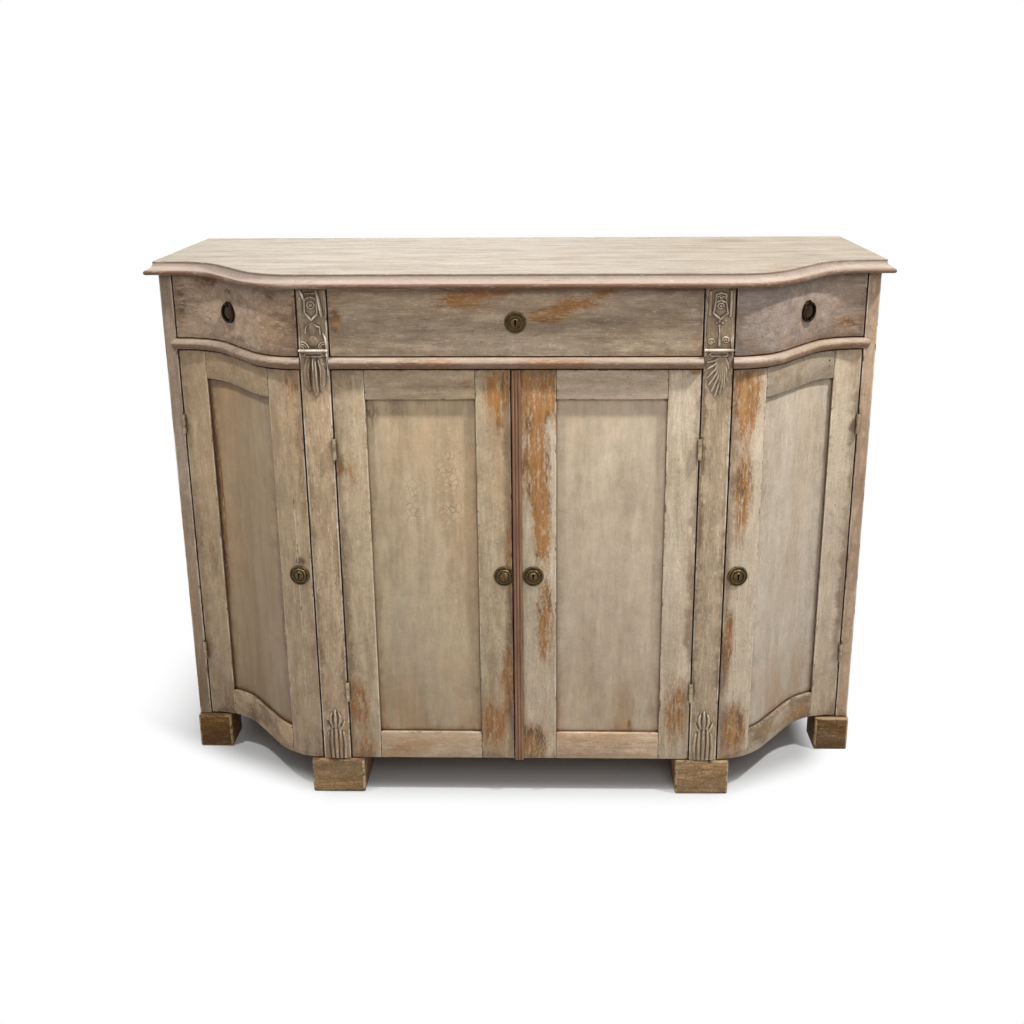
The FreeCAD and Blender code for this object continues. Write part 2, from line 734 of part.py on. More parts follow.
def door_lock(name, throw, edge, bolt_front, stock, key):
    """A lock's case and bolt behind a door's stile. The bolt moves along X, to throw's side."""
    into = -throw
    case_out = f"{edge} + {into} * case_inset"
    case_in = f"{edge} + {into} * (case_inset + case_width)"
    bolt_out = f"{case_out} + {into} * bolt_gap"
    bolt_in = f"{bolt_out} + {into} * bolt_length"
    room_in = f"{bolt_in} + {into} * bolt_gap"
    z = span_about("lock_height", "case_height / 2")
    case = box(name + "_block", ordered(throw, case_out, case_in),
               ("door_back", f"{bolt_front} + bolt_thickness + case_wall"), z)
    room = box(name + "_room", ordered(throw, edge, room_in),
               (f"{bolt_front} - bolt_gap", f"{bolt_front} + bolt_thickness + bolt_gap"),
               span_about("lock_height", "bolt_height / 2 + bolt_gap"))
    bolt = box(name + "_bolt", ordered(throw, bolt_out, bolt_in),
               (bolt_front, f"{bolt_front} + bolt_thickness"),
               span_about("lock_height", "bolt_height / 2"))
    keep(cut(name, case, fuse(name + "_clearance", [room, stock, key])), name)
    keep(bolt, name + "_bolt")


def span_about(middle, half):
    return f"{middle} - ({half})", f"{middle} + ({half})"


def ordered(throw, outer, inner):
    """Low and high ends of a stretch that runs in from the side that the bolt is thrown to."""
    return (outer, inner) if throw < 0 else (inner, outer)


def door(name, stock, groove, panel, edges, openings=()):
    """Stiles, rails and panel, sawn out of a wall of the door's thickness."""
    left, panel_left, panel_right, right = edges
    depth = ("front - door_thickness", "back")
    height = ("door_foot", "door_head")
    reach = "groove_depth + fit_gap"
    room = common(name + "_groove", groove, box(
        name + "_groove_box", (f"{panel_left} - ({reach})", f"{panel_right} + {reach}"), depth,
        (f"panel_foot - ({reach})", f"panel_head + {reach}")))
    tool = fuse(name + "_cuts", [room, *openings]) if openings else room
    inside = (panel_left, panel_right)
    members = {
        "left_stile": ((left, panel_left), height),
        "right_stile": ((panel_right, right), height),
        "bottom_rail": (inside, ("door_foot", "panel_foot")),
        "top_rail": (inside, ("panel_head", "door_head")),
    }
    sawn = {}
    for member, (x, z) in members.items():
        blank = common(f"{name}_{member}_blank", stock, box(f"{name}_{member}_box", x, depth, z))
        sawn[member] = cut(f"{name}_{member}", blank, tool)
    group(name + "_stiles", [sawn["left_stile"], sawn["right_stile"]])
    group(name + "_rails", [sawn["bottom_rail"], sawn["top_rail"]])
    field = box(name + "_panel_box", (f"{panel_left} - groove_depth", f"{panel_right} + groove_depth"),
                depth, ("panel_foot - groove_depth", "panel_head + groove_depth"))
    keep(common(name + "_panel", panel, field), name + "_panel")


def centre_doors():
    """The two flat doors, the reeded strip where they meet and the right door's lock."""
    whole = ("-(half_opening)", "half_opening")
    height = ("door_foot", "door_head")
    stock = box("flat_stock", whole, ("front", "door_back"), height)
    panel_y = ("front + panel_recess", "front + panel_recess + panel_thickness")
    panel = box("flat_panel_stock", whole, panel_y, height)
    groove = box("flat_groove_stock", whole, (f"{panel_y[0]} - fit_gap", f"{panel_y[1]} + fit_gap"), height)
    left_meet = "-(meeting_lap + reveal)"
    right_meet = "-(meeting_lap)"
    door("left_door", stock, groove, panel,
         ("-(door_edge)", "-(door_edge - hinge_stile)", f"{left_meet} - lock_stile", left_meet))
    key = key_tool("right_door_key", ("right_plate_place", "front", "lock_height"))
    strip_in = f"{right_meet} + strip_width"
    door("right_door", stock, groove, panel,
         (right_meet, f"{strip_in} + lock_stile", "door_edge - hinge_stile", "door_edge"), [key])
    blind = key_plate("left_plate_disc", ("-(left_plate_place)", "front", "lock_height"))
    beyond = box("left_plate_trim", (left_meet, "half_opening"),
                 ("front - door_thickness", "front"), height)
    keep(cut("left_door_key_plate", blind, beyond), "left_door_key_plate")
    disc = key_plate("right_plate_disc", ("right_plate_place", "front", "lock_height"))
    keep(cut("right_door_key_plate", disc, key), "right_door_key_plate")
    meeting_strip(right_meet)
    door_lock("right_door_lock", -1, right_meet, "door_back + case_wall", stock, key)


def meeting_strip(left):
    """Two reeds side by side, on the right door's meeting edge."""
    part = doc.addObject("PartDesign::Body", "meeting_strip")
    reed = "((strip_width - strip_groove) / 4)"
    sketch = new_sketch(part, "XY_Plane", "door_foot")
    fillet_y = f"front - {reed} / 2"
    draw(sketch, [
        (left, "front", None),
        (left, fillet_y, (reed, 1)),
        (f"{left} + {reed}", f"{fillet_y} - {reed}", (reed, 1)),
        (f"{left} + 2 * {reed}", fillet_y, None),
        (f"{left} + 2 * {reed} + strip_groove", fillet_y, (reed, 1)),
        (f"{left} + 3 * {reed} + strip_groove", f"{fillet_y} - {reed}", (reed, 1)),
        (f"{left} + strip_width", fillet_y, None),
        (f"{left} + strip_width", "front", None),
    ])
    pad(part, sketch, "door_head - (door_foot)")
    keep(part, "meeting_strip")


def end_doors():
    """The two curved doors, each with a keyhole plate and a lock beside the pilaster."""
    height = ("door_foot", "door_head")
    for side, hand in ((-1, "left"), (1, "right")):
        name = hand + "_end_door"
        stock = band(name + "_stock", side, "0", "-(door_thickness)", height)
        panel = band(name + "_panel_stock", side, "-(panel_recess)",
                     "-(panel_recess + panel_thickness)", height)
        groove = band(name + "_groove_stock", side, "fit_gap - panel_recess",
                      "-(panel_recess + panel_thickness + fit_gap)", height)
        turn = f"{side} * plate_turn"
        place = (f"{side} * (pilaster_out + end_plate_place)",
                 "front + ogee_radius * (1 - cos(plate_turn))", "lock_height")
        key = key_tool(name + "_key", place, turn)
        inner = span(side, "end_edge_in", "end_edge_in + end_inner_stile")
        outer = span(side, "end_edge_out - end_outer_stile", "end_edge_out")
        edges = inner + outer if side > 0 else outer + inner
        door(name, stock, groove, panel, edges, [key])
        disc = key_plate(name + "_plate_disc", place, turn, "plate_sink")
        trim = fuse(name + "_plate_trim", [stock, key])
        keep(cut(name + "_key_plate", disc, trim), name + "_key_plate")
        door_lock(name + "_lock", -side, f"{side} * (end_edge_in)", "end_bolt_front", stock, key)


def hinge_leaf(name, x, y, toward, middle, own):
    """One leaf of a butt hinge. It lies in the gap on toward's side and carries its own knuckles."""
    plate_x = span_toward(x, toward, "leaf_slack", "reveal / 2")
    root = f"{y} + knuckle_radius + knuckle_gap"
    pieces = [box(name + "_plate", plate_x, (root, f"{root} + leaf_width"),
                  span_about(middle, "hinge_length / 2"))]
    for part, (low, high) in enumerate(own):
        z = (f"{middle} + {low}", f"{middle} + {high}")
        pieces.append(box(f"{name}_neck_{part}", plate_x, (y, root), z))
        pieces.append(upright(f"{name}_knuckle_{part}", x, y, "knuckle_radius", z))
    return fuse(name + "_blank", pieces)


def span_toward(x, toward, near, far):
    ends = (f"{x} + {near}", f"{x} + {far}")
    return ends if toward > 0 else (f"{x} - {far}", f"{x} - {near}")


def hinges():
    """Two butt hinges on each door, with the pin in the frame's knuckles."""
    low = "(-hinge_length / 2)"
    third = "(hinge_length / 6)"
    frame_own = ((low, f"-{third} - knuckle_gap / 2"), (f"{third} + knuckle_gap / 2", "hinge_length / 2"))
    door_own = ((f"-{third} + knuckle_gap / 2", f"{third} - knuckle_gap / 2"),)
    spots = {
        "left_end_door": ("-(side_in - reveal / 2)", "end_front - hinge_proud", 1),
        "left_door": ("-(half_opening - reveal / 2)", "front - hinge_proud", 1),
        "right_door": ("half_opening - reveal / 2", "front - hinge_proud", -1),
        "right_end_door": ("side_in - reveal / 2", "end_front - hinge_proud", -1),
    }
    frame_leaves = []
    pins = []
    for name, (x, y, toward) in spots.items():
        door_leaves = []
        for level, middle in (("lower", "door_foot + hinge_place"), ("upper", "door_head - hinge_place")):
            tag = f"{name}_{level}"
            pin_z = span_about(middle, "hinge_length / 2 + pin_end")
            pins.append(upright(tag + "_pin", x, y, "pin_radius", pin_z))
            frame = hinge_leaf(tag + "_frame", x, y, -toward, middle, frame_own)
            frame_leaves.append(cut(tag + "_frame_leaf", frame, pins[-1]))
            moving = hinge_leaf(tag + "_door", x, y, toward, middle, door_own)
            bore = upright(tag + "_bore", x, y, "pin_radius + pin_clearance", pin_z)
            door_leaves.append(cut(tag + "_door_leaf", moving, bore))
        group(name + "_hinge_leaves", door_leaves)
    group("frame_hinge_leaves", frame_leaves)
    group("hinge_pins", pins)


def drawer_box(name, x, stock):
    """Sides, back and bottom of a drawer, trimmed to the back of its front."""
    left, right = x
    y = ("front", "drawer_rear")
    side_z = ("drawer_side_foot", "drawer_side_head")
    inside = (f"{left} + drawer_side", f"{right} - drawer_side")
    back_y = ("drawer_rear - drawer_side", "drawer_rear")
    blanks = {
        "left_side": ((left, inside[0]), y, side_z),
        "right_side": ((inside[1], right), y, side_z),
        "bottom": (inside, y, ("drawer_board_foot", "drawer_board_head")),
    }
    pieces = [cut(f"{name}_{piece}", box(f"{name}_{piece}_blank", *place), stock)
              for piece, place in blanks.items()]
    pieces.append(box(name + "_back", inside, back_y, ("drawer_board_head", "drawer_side_head")))
    group(name + "_box", pieces)


def centre_drawer():
    """The wide flat drawer, with a lock whose bolt goes up into the top board."""
    z = ("drawer_foot", "drawer_head")
    face = box("centre_drawer_blank", ("-(door_edge)", "door_edge"),
               ("front", "front + drawer_front_thickness"), z)
    place = ("0", "front", "drawer_key")
    key = key_tool("centre_drawer_key", place)
    keep(cut("centre_drawer_front", face, key), "centre_drawer_front")
    disc = key_plate("centre_drawer_disc", place)
    keep(cut("centre_drawer_key_plate", disc, key), "centre_drawer_key_plate")
    behind = box("centre_drawer_trim", ("-(half_opening)", "half_opening"),
                 ("front - drawer_front_thickness", "front + drawer_front_thickness"),
                 ("drawer_floor", "top_under"))
    drawer_box("centre_drawer", ("-(door_edge)", "door_edge"), behind)
    drawer_lock(key)


def drawer_lock(key):
    """A case behind the drawer front, with a bolt that rises."""
    head = "drawer_head - case_inset"
    bolt_head = f"{head} - bolt_gap"
    bolt_y = ("drawer_bolt_front", "drawer_bolt_front + bolt_thickness")
    case = box("drawer_lock_block", ("-(case_width / 2)", "case_width / 2"),
               ("front + drawer_front_thickness", f"{bolt_y[1]} + case_wall"),
               ("drawer_key - case_width / 2", head))
    room = box("drawer_lock_room", ("-(bolt_height / 2 + bolt_gap)", "bolt_height / 2 + bolt_gap"),
               (f"{bolt_y[0]} - bolt_gap", f"{bolt_y[1]} + bolt_gap"),
               (f"{bolt_head} - bolt_length - bolt_gap", "top_under"))
    keep(cut("drawer_lock", case, fuse("drawer_lock_clearance", [room, key])), "drawer_lock")
    bolt = box("drawer_lock_bolt", ("-(bolt_height / 2)", "bolt_height / 2"), bolt_y,
               (f"{bolt_head} - bolt_length", bolt_head))
    keep(bolt, "drawer_lock_bolt")


def end_drawers():
    """The two curved drawers with their ring pulls."""
    for side, hand in ((-1, "left"), (1, "right")):
        name = hand + "_drawer"
        wall = band(name + "_stock", side, "0", "-(drawer_front_thickness)", ("drawer_foot", "drawer_head"))
        x = span(side, "end_edge_in", "end_edge_out")
        face = box(name + "_front_box", x, ("front", "back"), ("drawer_foot", "drawer_head"))
        keep(common(name + "_front", wall, face), name + "_front")
        drawer_box(name, x, front_space(name, side))
        ring_pull(side, name)


def front_space(name, side):
    """The space in front of the back of an end drawer's front."""
    corners = ogee(side, "-(drawer_front_thickness)")
    corners += [(f"{side} * ({x})", y, None) for x, y in (
        ("side_in", "end_front + drawer_front_thickness"), ("side_in", "back"), ("pilaster_out", "back"))]
    z = ("drawer_floor", "top_under")
    reach = box(name + "_reach", span(side, "pilaster_out", "side_in"), ("front", "back"), z)
    return cut(name + "_front_space", reach, plate(name + "_behind", corners, z))


def ring_pull(side, name):
    """A round back plate with a domed middle and an eye, and the ring that hangs in the eye."""
    along = "(ogee_straight - pull_margin - pull_radius)"
    x = f"{side} * (pilaster_out + ogee_radius * sin(ogee_angle) + {along} * cos(ogee_angle))"
    y = f"front + ogee_radius * (1 - cos(ogee_angle)) + {along} * sin(ogee_angle)"
    place = (x, y, "drawer_key", f"{side} * ogee_angle")
    back = doc.addObject("PartDesign::Body", name + "_pull_plate")
    raise_disc(back, "0", "0", "pull_radius", "pull_plate")
    raise_disc(back, "0", "0", "ring_radius - ring_wire - ring_gap", "pull_plate + pull_dome")
    half = "(ring_wire + ring_gap + eye_wall)"
    pad_outward(back, [(f"{hand} * eye_width / 2", f"ring_radius + {rise} * {half}", None)
                       for hand, rise in ((-1, -1), (1, -1), (1, 1), (-1, 1))], "0", f"ring_stand + {half}")
    hole = new_sketch(back, "YZ_Plane", "-(eye_width)")
    draw_circle(hole, "-(ring_stand)", "ring_radius", "ring_wire + ring_gap / 2")
    pocket = back.newObject("PartDesign::Pocket", name + "_eye_hole")
    pocket.Profile = hole
    pocket.Reversed = True
    pocket.setExpression("Length", expr("2 * eye_width"))
    stand(back, *place)
    keep(back, name + "_pull_plate")
    ring = doc.addObject("PartDesign::Body", name + "_pull_ring")
    wire = new_sketch(ring, "XY_Plane")
    draw_circle(wire, "ring_radius", "-(ring_stand)", "ring_wire")
    turned = ring.newObject("PartDesign::Revolution", name + "_ring_turn")
    turned.Profile = wire
    turned.ReferenceAxis = (wire, ["V_Axis"])
    turned.Angle = 360
    stand(ring, *place)
    keep(ring, name + "_pull_ring")


def check_and_write():
    """Write the pieces only if every object in the document is sound."""
    doc.recompute()
    faults = [item.Name for item in doc.Objects if {"Invalid", "Error"} & set(item.State)]
    faults += [piece.Label for piece in nodes if piece.Shape.isNull() or not piece.Shape.isValid()]
    if faults:
        raise RuntimeError("unsound objects: " + ", ".join(faults))
    os.makedirs("parts", exist_ok=True)
    for piece in nodes:
        piece.Shape.exportStep(f"parts/{piece.Label}.step")
        print(f"{piece.Label}: {len(piece.Shape.Solids)} solids, {piece.Shape.Volume / 1000:.1f} cm3")


top_board()
carcass_boards()
pilasters()
feet()
waist_beads()
carving(-1, "left")
carving(1, "right")
centre_doors()
end_doors()
hinges()
centre_drawer()
end_drawers()
check_and_write()
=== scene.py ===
import json
import math
import bmesh
import bpy
from mathutils import Matrix, Vector


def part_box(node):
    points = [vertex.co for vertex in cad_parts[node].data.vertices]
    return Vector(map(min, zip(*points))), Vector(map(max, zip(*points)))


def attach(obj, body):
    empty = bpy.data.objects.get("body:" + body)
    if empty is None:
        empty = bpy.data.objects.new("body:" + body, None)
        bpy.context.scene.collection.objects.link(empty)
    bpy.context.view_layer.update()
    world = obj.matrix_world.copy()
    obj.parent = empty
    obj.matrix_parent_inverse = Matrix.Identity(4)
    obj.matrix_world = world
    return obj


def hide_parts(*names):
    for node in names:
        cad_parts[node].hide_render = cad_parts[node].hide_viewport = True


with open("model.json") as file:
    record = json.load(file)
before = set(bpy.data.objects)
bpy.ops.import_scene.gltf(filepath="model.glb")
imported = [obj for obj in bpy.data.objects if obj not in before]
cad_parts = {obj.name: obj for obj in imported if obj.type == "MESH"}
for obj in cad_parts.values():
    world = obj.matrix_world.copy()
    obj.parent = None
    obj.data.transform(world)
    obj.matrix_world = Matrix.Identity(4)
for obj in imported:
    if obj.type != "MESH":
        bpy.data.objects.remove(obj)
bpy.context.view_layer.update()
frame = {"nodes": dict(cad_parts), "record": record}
scene = bpy.context.scene
nodes = frame["nodes"]
bodyOf = {node: body for body, members in frame["record"]["behaviour"]["bodies"].items() for node in members}
slotOf = {row["node"]: row["material_slot"] for row in frame["record"]["subparts"]}
mm = 0.001
print("frame read:", len(nodes), "nodes")


def tone(red, green, blue):
    # a colour as seen on screen, in the linear light that the shaders use
    def linear(part):
        part /= 255
        return part / 12.92 if part <= 0.04045 else ((part + 0.055) / 1.055) ** 2.4
    return (linear(red), linear(green), linear(blue), 1.0)


# material helpers
def addNode(tree, kind, values=None, **settings):
    # the outputs of a new node, whose inputs are set or linked
    node = tree.nodes.new("ShaderNode" + kind)
    for key, value in settings.items():
        setattr(node, key, value)
    for key, value in (values or {}).items():
        if isinstance(value, bpy.types.NodeSocket):
            tree.links.new(value, node.inputs[key])
        else:
            node.inputs[key].default_value = value
    return node.outputs


class Brush:
    # one material's nodes
    def __init__(self, name):
        self.material = bpy.data.materials.new(name)
        self.material.use_nodes = True
        self.tree = self.material.node_tree
        self.shader = self.tree.nodes["Principled BSDF"]
        self.place = addNode(self.tree, "TexCoord")["Object"]

    def math(self, operation, first, second=0.0, clamp=False):
        return addNode(self.tree, "Math", {0: first, 1: second},
                       operation=operation, use_clamp=clamp)[0]

    def plus(self, first, second):
        return self.math("ADD", first, second)

    def minus(self, first, second):
        return self.math("SUBTRACT", first, second)

    def times(self, first, second):
        return self.math("MULTIPLY", first, second)

    def fade(self, value, low, high, toLow=0.0, toHigh=1.0):
        return addNode(self.tree, "MapRange", {0: value, 1: low, 2: high, 3: toLow, 4: toHigh},
                       interpolation_type="SMOOTHSTEP")[0]

    def mix(self, share, first, second, kind="MIX"):
        return addNode(self.tree, "Mix", {0: share, 6: first, 7: second},
                       data_type="RGBA", blend_type=kind)[2]

    def stretch(self, scale, shift):
        return addNode(self.tree, "Mapping",
                       {"Vector": self.place, "Scale": scale, "Location": shift})[0]

    def noise(self, vector, scale, detail, rough, twist=0.0):
        return addNode(self.tree, "TexNoise",
                       {"Vector": vector, "Scale": scale, "Detail": detail, "Roughness": rough,
                        "Distortion": twist})["Fac"]

    def noises(self, table, grain, shift):
        # named noises, each drawn out along the grain by the first value of its row
        flows = {}
        for share in {row[0] for row in table.values()}:
            flows[share] = self.stretch([share if grain == axis else 1.0 for axis in "xyz"], shift)
        return {name: self.noise(flows[share], *rest) for name, (share, *rest) in table.items()}

    def edges(self, radius, low, high):
        # bright along the arrises of the piece
        rounded = addNode(self.tree, "Bevel", {"Radius": radius}, samples=5)[0]
        flat = addNode(self.tree, "NewGeometry")["Normal"]
        along = addNode(self.tree, "VectorMath", {0: rounded, 1: flat}, operation="DOT_PRODUCT")
        return self.fade(self.minus(1.0, along["Value"]), low, high)

    def corners(self, reach, start, full):
        # a share, high in crevices and corners, where ambient shade falls
        shelter = addNode(self.tree, "AmbientOcclusion", {"Distance": reach}, samples=4)
        return self.fade(shelter["AO"], start, full)

    def spot(self, centre, radii):
        # one at the centre of an upright oval, falling to nothing at its rim
        scale = (1 / radii[0], 0, 1 / radii[1])
        moved = self.stretch(scale, (-centre[0] * scale[0], 0, -centre[1] * scale[2]))
        away = addNode(self.tree, "VectorMath", {0: moved}, operation="LENGTH")["Value"]
        return self.fade(away, 1.0, 0.0)

    def finish(self, colour, rough, height, depth=0.0005, strength=0.6):
        bump = addNode(self.tree, "Bump",
                       {"Height": height, "Distance": depth, "Strength": strength})[0]
        for key, value in (("Base Color", colour), ("Roughness", rough), ("Normal", bump)):
            self.tree.links.new(value, self.shader.inputs[key])
        return self.material


# worn paint: a piece's own look is laid over these settings, lengths are in mm
plainPaint = {
    "grain": "z", "gain": (1, 1, 1), "rough": 0.55, "sheen": 0.5,
    "deep": (157, 137, 108), "mid": (180, 161, 131), "pale": (202, 184, 154), "strokes": 0.65,
    "cool": (172, 156, 134), "coolness": 0.5, "warm": (182, 149, 110), "warmth": 0.45,
    "dingy": (112, 92, 68), "wash": 0.4, "streak": 0.05, "smudge": 0.08, "grit": 0.07,
    "wood": (170, 122, 67), "woodDeep": (134, 92, 50), "woodRed": (162, 106, 56), "woodDark": (98, 67, 41),
    "scrap": (190, 168, 136), "bare": 0.42, "spots": (), "most": 0.58, "edge": 0.2, "edgeSize": 7.0,
    "foot": 0.6, "footRise": 200, "footTone": (164, 124, 82), "ridges": False, "grooveDirtAndShade": (80, 60, 42),
    "under": (236, 223, 200), "arris": 0.95, "chipped": (78, 50, 34), "paintedHighlights": (), "paintedHighlight": (240, 228, 206),
    "stains": (), "stain": (92, 70, 50), "bands": (), "cracks": (), "crackle": (112, 90, 64),
    "crackCells": 92.0, "crackSwirl": 70.0, "crackBend": 8.0,
    "darkerBorder": 0.0, "border": 20.0, "borderTone": (108, 80, 54),
    "scratch": 0.4, "scratched": (100, 76, 54), "nicks": 0.55, "nicked": (84, 60, 42), "fleck": 0.25,
    "corner": 0.95, "cornerSize": 7.0, "hollow": (0.82, 0.34), "creviceDirtAndShade": (50, 32, 22),
}
# stretch along the grain, scale, detail, roughness and twist of each noise
paintNoise = {
    "broad": (0.14, 30, 4, 0.55), "narrow": (0.14, 95, 5, 0.62), "bristle": (0.14, 300, 4, 0.65),
    "hair": (0.05, 430, 3, 0.6), "area": (0.26, 9, 4, 0.55), "dingy": (0.26, 17, 8, 0.7),
    "smudge": (1, 34, 7, 0.65), "mottle": (1, 210, 6, 0.72), "grit": (1, 620, 3, 0.6),
    "flakes": (0.26, 120, 10, 0.76), "coarse": (0.26, 22, 5, 0.6), "rag": (0.5, 420, 5, 0.7),
    "vein": (0.05, 170, 6, 0.65, 0.4), "tint": (0.26, 40, 6, 0.62), "scrap": (0.26, 150, 9, 0.78),
    "rubbed": (0.26, 45, 6, 0.65), "chip": (0.26, 170, 6, 0.72), "scratch": (0.05, 300, 6, 0.7),
    "scratchArea": (0.26, 26, 5, 0.6), "nick": (0.4, 330, 4, 0.65),
    "nickArea": (1, 15, 4, 0.55), "fleck": (0.26, 280, 5, 0.7),
}


def wornPaint(name, look, box):
    look = {**plainPaint, **look}
    brush = Brush(name)
    low, high = box
    shift = (look["seed"] * 1.7, look["seed"] * 0.9, look["seed"] * 2.3)
    noise = brush.noises(paintNoise, look["grain"], shift)
    ways = addNode(brush.tree, "SeparateXYZ", {0: brush.place})
    toRight, rise = ways[0], ways[2]
    plus, minus, times, fade, mix = brush.plus, brush.minus, brush.times, brush.fade, brush.mix

    def hue(key):
        return tone(*look[key])

    def painted(key):
        return [part * gain for part, gain in zip(hue(key), (*look["gain"], 1.0))]

    def grade(kind, *limits):
        return fade(noise[kind], *limits)

    def lay(share, key):
        nonlocal colour
        colour = mix(share, colour, hue(key))

    def ovals(spots):
        # the sum of (across, up, half width mm, half height mm, gain) ovals placed as shares of the box
        total = None
        for across, up, wide, tall, gain in spots:
            centre = (low.x + across * (high.x - low.x), low.z + up * (high.z - low.z))
            near = times(brush.spot(centre, (wide * mm, tall * mm)), gain)
            total = near if total is None else plus(total, near)
        return total

    # brushed paint: broad and narrow strokes along the grain, cool, warm and dingy areas, bristle marks, grit
    paint = mix(grade("broad", 0.28, 0.64), painted("deep"), painted("mid"))
    paint = mix(grade("narrow", 0.42, 0.7, 0.0, look["strokes"]), paint, painted("pale"))
    paint = mix(grade("area", 0.5, 0.3, 0.0, look["coolness"]), paint, painted("cool"))
    paint = mix(grade("area", 0.5, 0.72, 0.0, look["warmth"]), paint, painted("warm"))
    paint = mix(grade("dingy", 0.53, 0.68, 0.0, look["wash"]), paint, hue("dingy"))
    stroke = grade("hair", 0.34, 0.66, 1 - look["streak"], 1 + look["streak"])
    for layer, amount in (("bristle", "streak"), ("smudge", "smudge"), ("mottle", "grit"), ("grit", "grit")):
        stroke = plus(stroke, grade(layer, 0.34, 0.66, -look[amount], look[amount]))
    shade = addNode(brush.tree, "CombineColor", {0: stroke, 1: stroke, 2: stroke})[0]
    colour = mix(1.0, paint, shade, "MULTIPLY")

    # wear: ragged flakes drawn out along the grain, more of them on arrises and in the worn spots
    wear = plus(times(noise["flakes"], 1.3), times(noise["coarse"], 0.7))
    wear = plus(wear, times(noise["rag"], 0.8))
    wear = minus(wear, 1.4 + look["bare"])
    if look["ridges"]:
        point = addNode(brush.tree, "NewGeometry")["Pointiness"]
        edge = fade(point, 0.503, 0.53)
    else:
        arris = addNode(brush.tree, "Attribute", attribute_name="arris")["Fac"]
        edge = brush.math("MAXIMUM", brush.edges(look["edgeSize"] * mm, 0.01, 0.1), arris)
    wear = plus(wear, times(edge, look["edge"]))
    if look["spots"]:
        wear = plus(wear, brush.math("MINIMUM", ovals(look["spots"]), look["most"]))
    bare = fade(wear, 0.0, 0.07)
    thin = fade(wear, -0.34, 0.03, 0.0, 0.6)

    # bare wood: veined, redder and darker in places, with scraps of paint left on it
    scrap = grade("scrap", 0.51, 0.6, 0.0, 0.7)
    bareWood = mix(grade("vein", 0.36, 0.62), hue("woodDeep"), hue("wood"))
    bareWood = mix(grade("tint", 0.5, 0.64, 0.0, 0.8), bareWood, hue("woodRed"))
    bareWood = mix(grade("tint", 0.47, 0.36, 0.0, 0.75), bareWood, hue("woodDark"))
    bareWood = mix(scrap, bareWood, hue("scrap"))
    # browner and darker towards the foot of the box, up to footRise mm above it
    if look["foot"]:
        settle = fade(rise, low.z + look["footRise"] * mm, low.z, 0.0, look["foot"])
        settle = times(settle, grade("coarse", 0.38, 0.6))
        lay(settle, "footTone")
    colour = mix(thin, colour, bareWood)
    colour = mix(bare, colour, bareWood)

    # arrises: rubbed through to the pale ground in long broken lines, chipped to the wood in short ones
    rubbed = grade("rubbed", 0.41, 0.52, 0.0, look["arris"])
    lay(times(edge, rubbed), "under")
    chip = grade("chip", 0.55, 0.6, 0.0, 0.9)
    lay(times(edge, chip), "chipped")
    # painted highlights: the cream colour on ridges within the given ovals
    if look["paintedHighlights"]:
        paintedHighlight = brush.math("MULTIPLY", ovals(look["paintedHighlights"]), edge, True)
        lay(paintedHighlight, "paintedHighlight")
    if look["stains"]:
        dark = times(ovals(look["stains"]), grade("flakes", 0.42, 0.56))
        lay(dark, "stain")
    height = plus(times(noise["bristle"], 0.4), times(noise["mottle"], 0.5))
    height = minus(height, times(bare, 0.9))
    # the carving's hollows, found by pointiness, darkened: painted shade, with dirt
    if look["ridges"]:
        lay(fade(point, 0.499, 0.47, 0.0, 0.9), "grooveDirtAndShade")

    # bands of another colour: foot and head in mm above the box's foot, the colour and its share
    for foot, head, bandTone, share in look["bands"]:
        band = times(fade(rise, low.z + (foot - 1) * mm, low.z + foot * mm),
                     fade(rise, low.z + (head + 1) * mm, low.z + head * mm))
        band = times(band, grade("flakes", 0.34, 0.5, 0.45 * share, share))
        band = times(band, grade("coarse", 0.34, 0.52, 0.6, 1.0))
        colour = mix(band, colour, tone(*bandTone))

    # hairline crackle in patches
    if look["cracks"]:
        loose = brush.stretch((1, 1, 1), shift)
        swirl = addNode(brush.tree, "TexNoise", {"Vector": loose, "Scale": look["crackSwirl"]})
        bend = {0: swirl["Color"], 1: [look["crackBend"] * mm] * 3, 2: loose}
        bent = addNode(brush.tree, "VectorMath", bend, operation="MULTIPLY_ADD")
        cells = addNode(brush.tree, "TexVoronoi",
                        {"Vector": bent[0], "Scale": look["crackCells"]}, feature="DISTANCE_TO_EDGE")
        patch = brush.math("MINIMUM", ovals(look["cracks"]), 1.0)
        patch = times(patch, grade("smudge", 0.4, 0.55))
        lines = times(fade(cells["Distance"], 0.08, 0.01, 0.0, 0.7), patch)
        lay(times(patch, 0.25), "pale")
        lay(lines, "crackle")
        height = minus(height, lines)

    # darker along the sides and ends of the box
    if look["darkerBorder"]:
        border = look["border"] * mm
        sides = brush.math("MINIMUM", minus(toRight, low.x), minus(high.x, toRight))
        ends = brush.math("MINIMUM", minus(rise, low.z), minus(high.z, rise))
        room = brush.math("MINIMUM", sides, ends)
        room = plus(room, grade("smudge", 0.3, 0.7, -0.006, 0.006))
        near = fade(room, border, 0.3 * border, 0.0, look["darkerBorder"])
        darkening = times(near, grade("coarse", 0.4, 0.58, 0.25, 1.0))
        lay(darkening, "borderTone")

    # scratches and dark nicks in patches, pale flecks, dirt and painted shade in the crevices
    scratch = grade("scratch", 0.57, 0.65, 0.0, look["scratch"])
    scratch = times(scratch, grade("scratchArea", 0.47, 0.58))
    lay(scratch, "scratched")
    nick = grade("nick", 0.6, 0.66, 0.0, look["nicks"])
    nick = times(nick, grade("nickArea", 0.46, 0.6))
    lay(nick, "nicked")
    lay(grade("fleck", 0.59, 0.66, 0.0, look["fleck"]), "under")
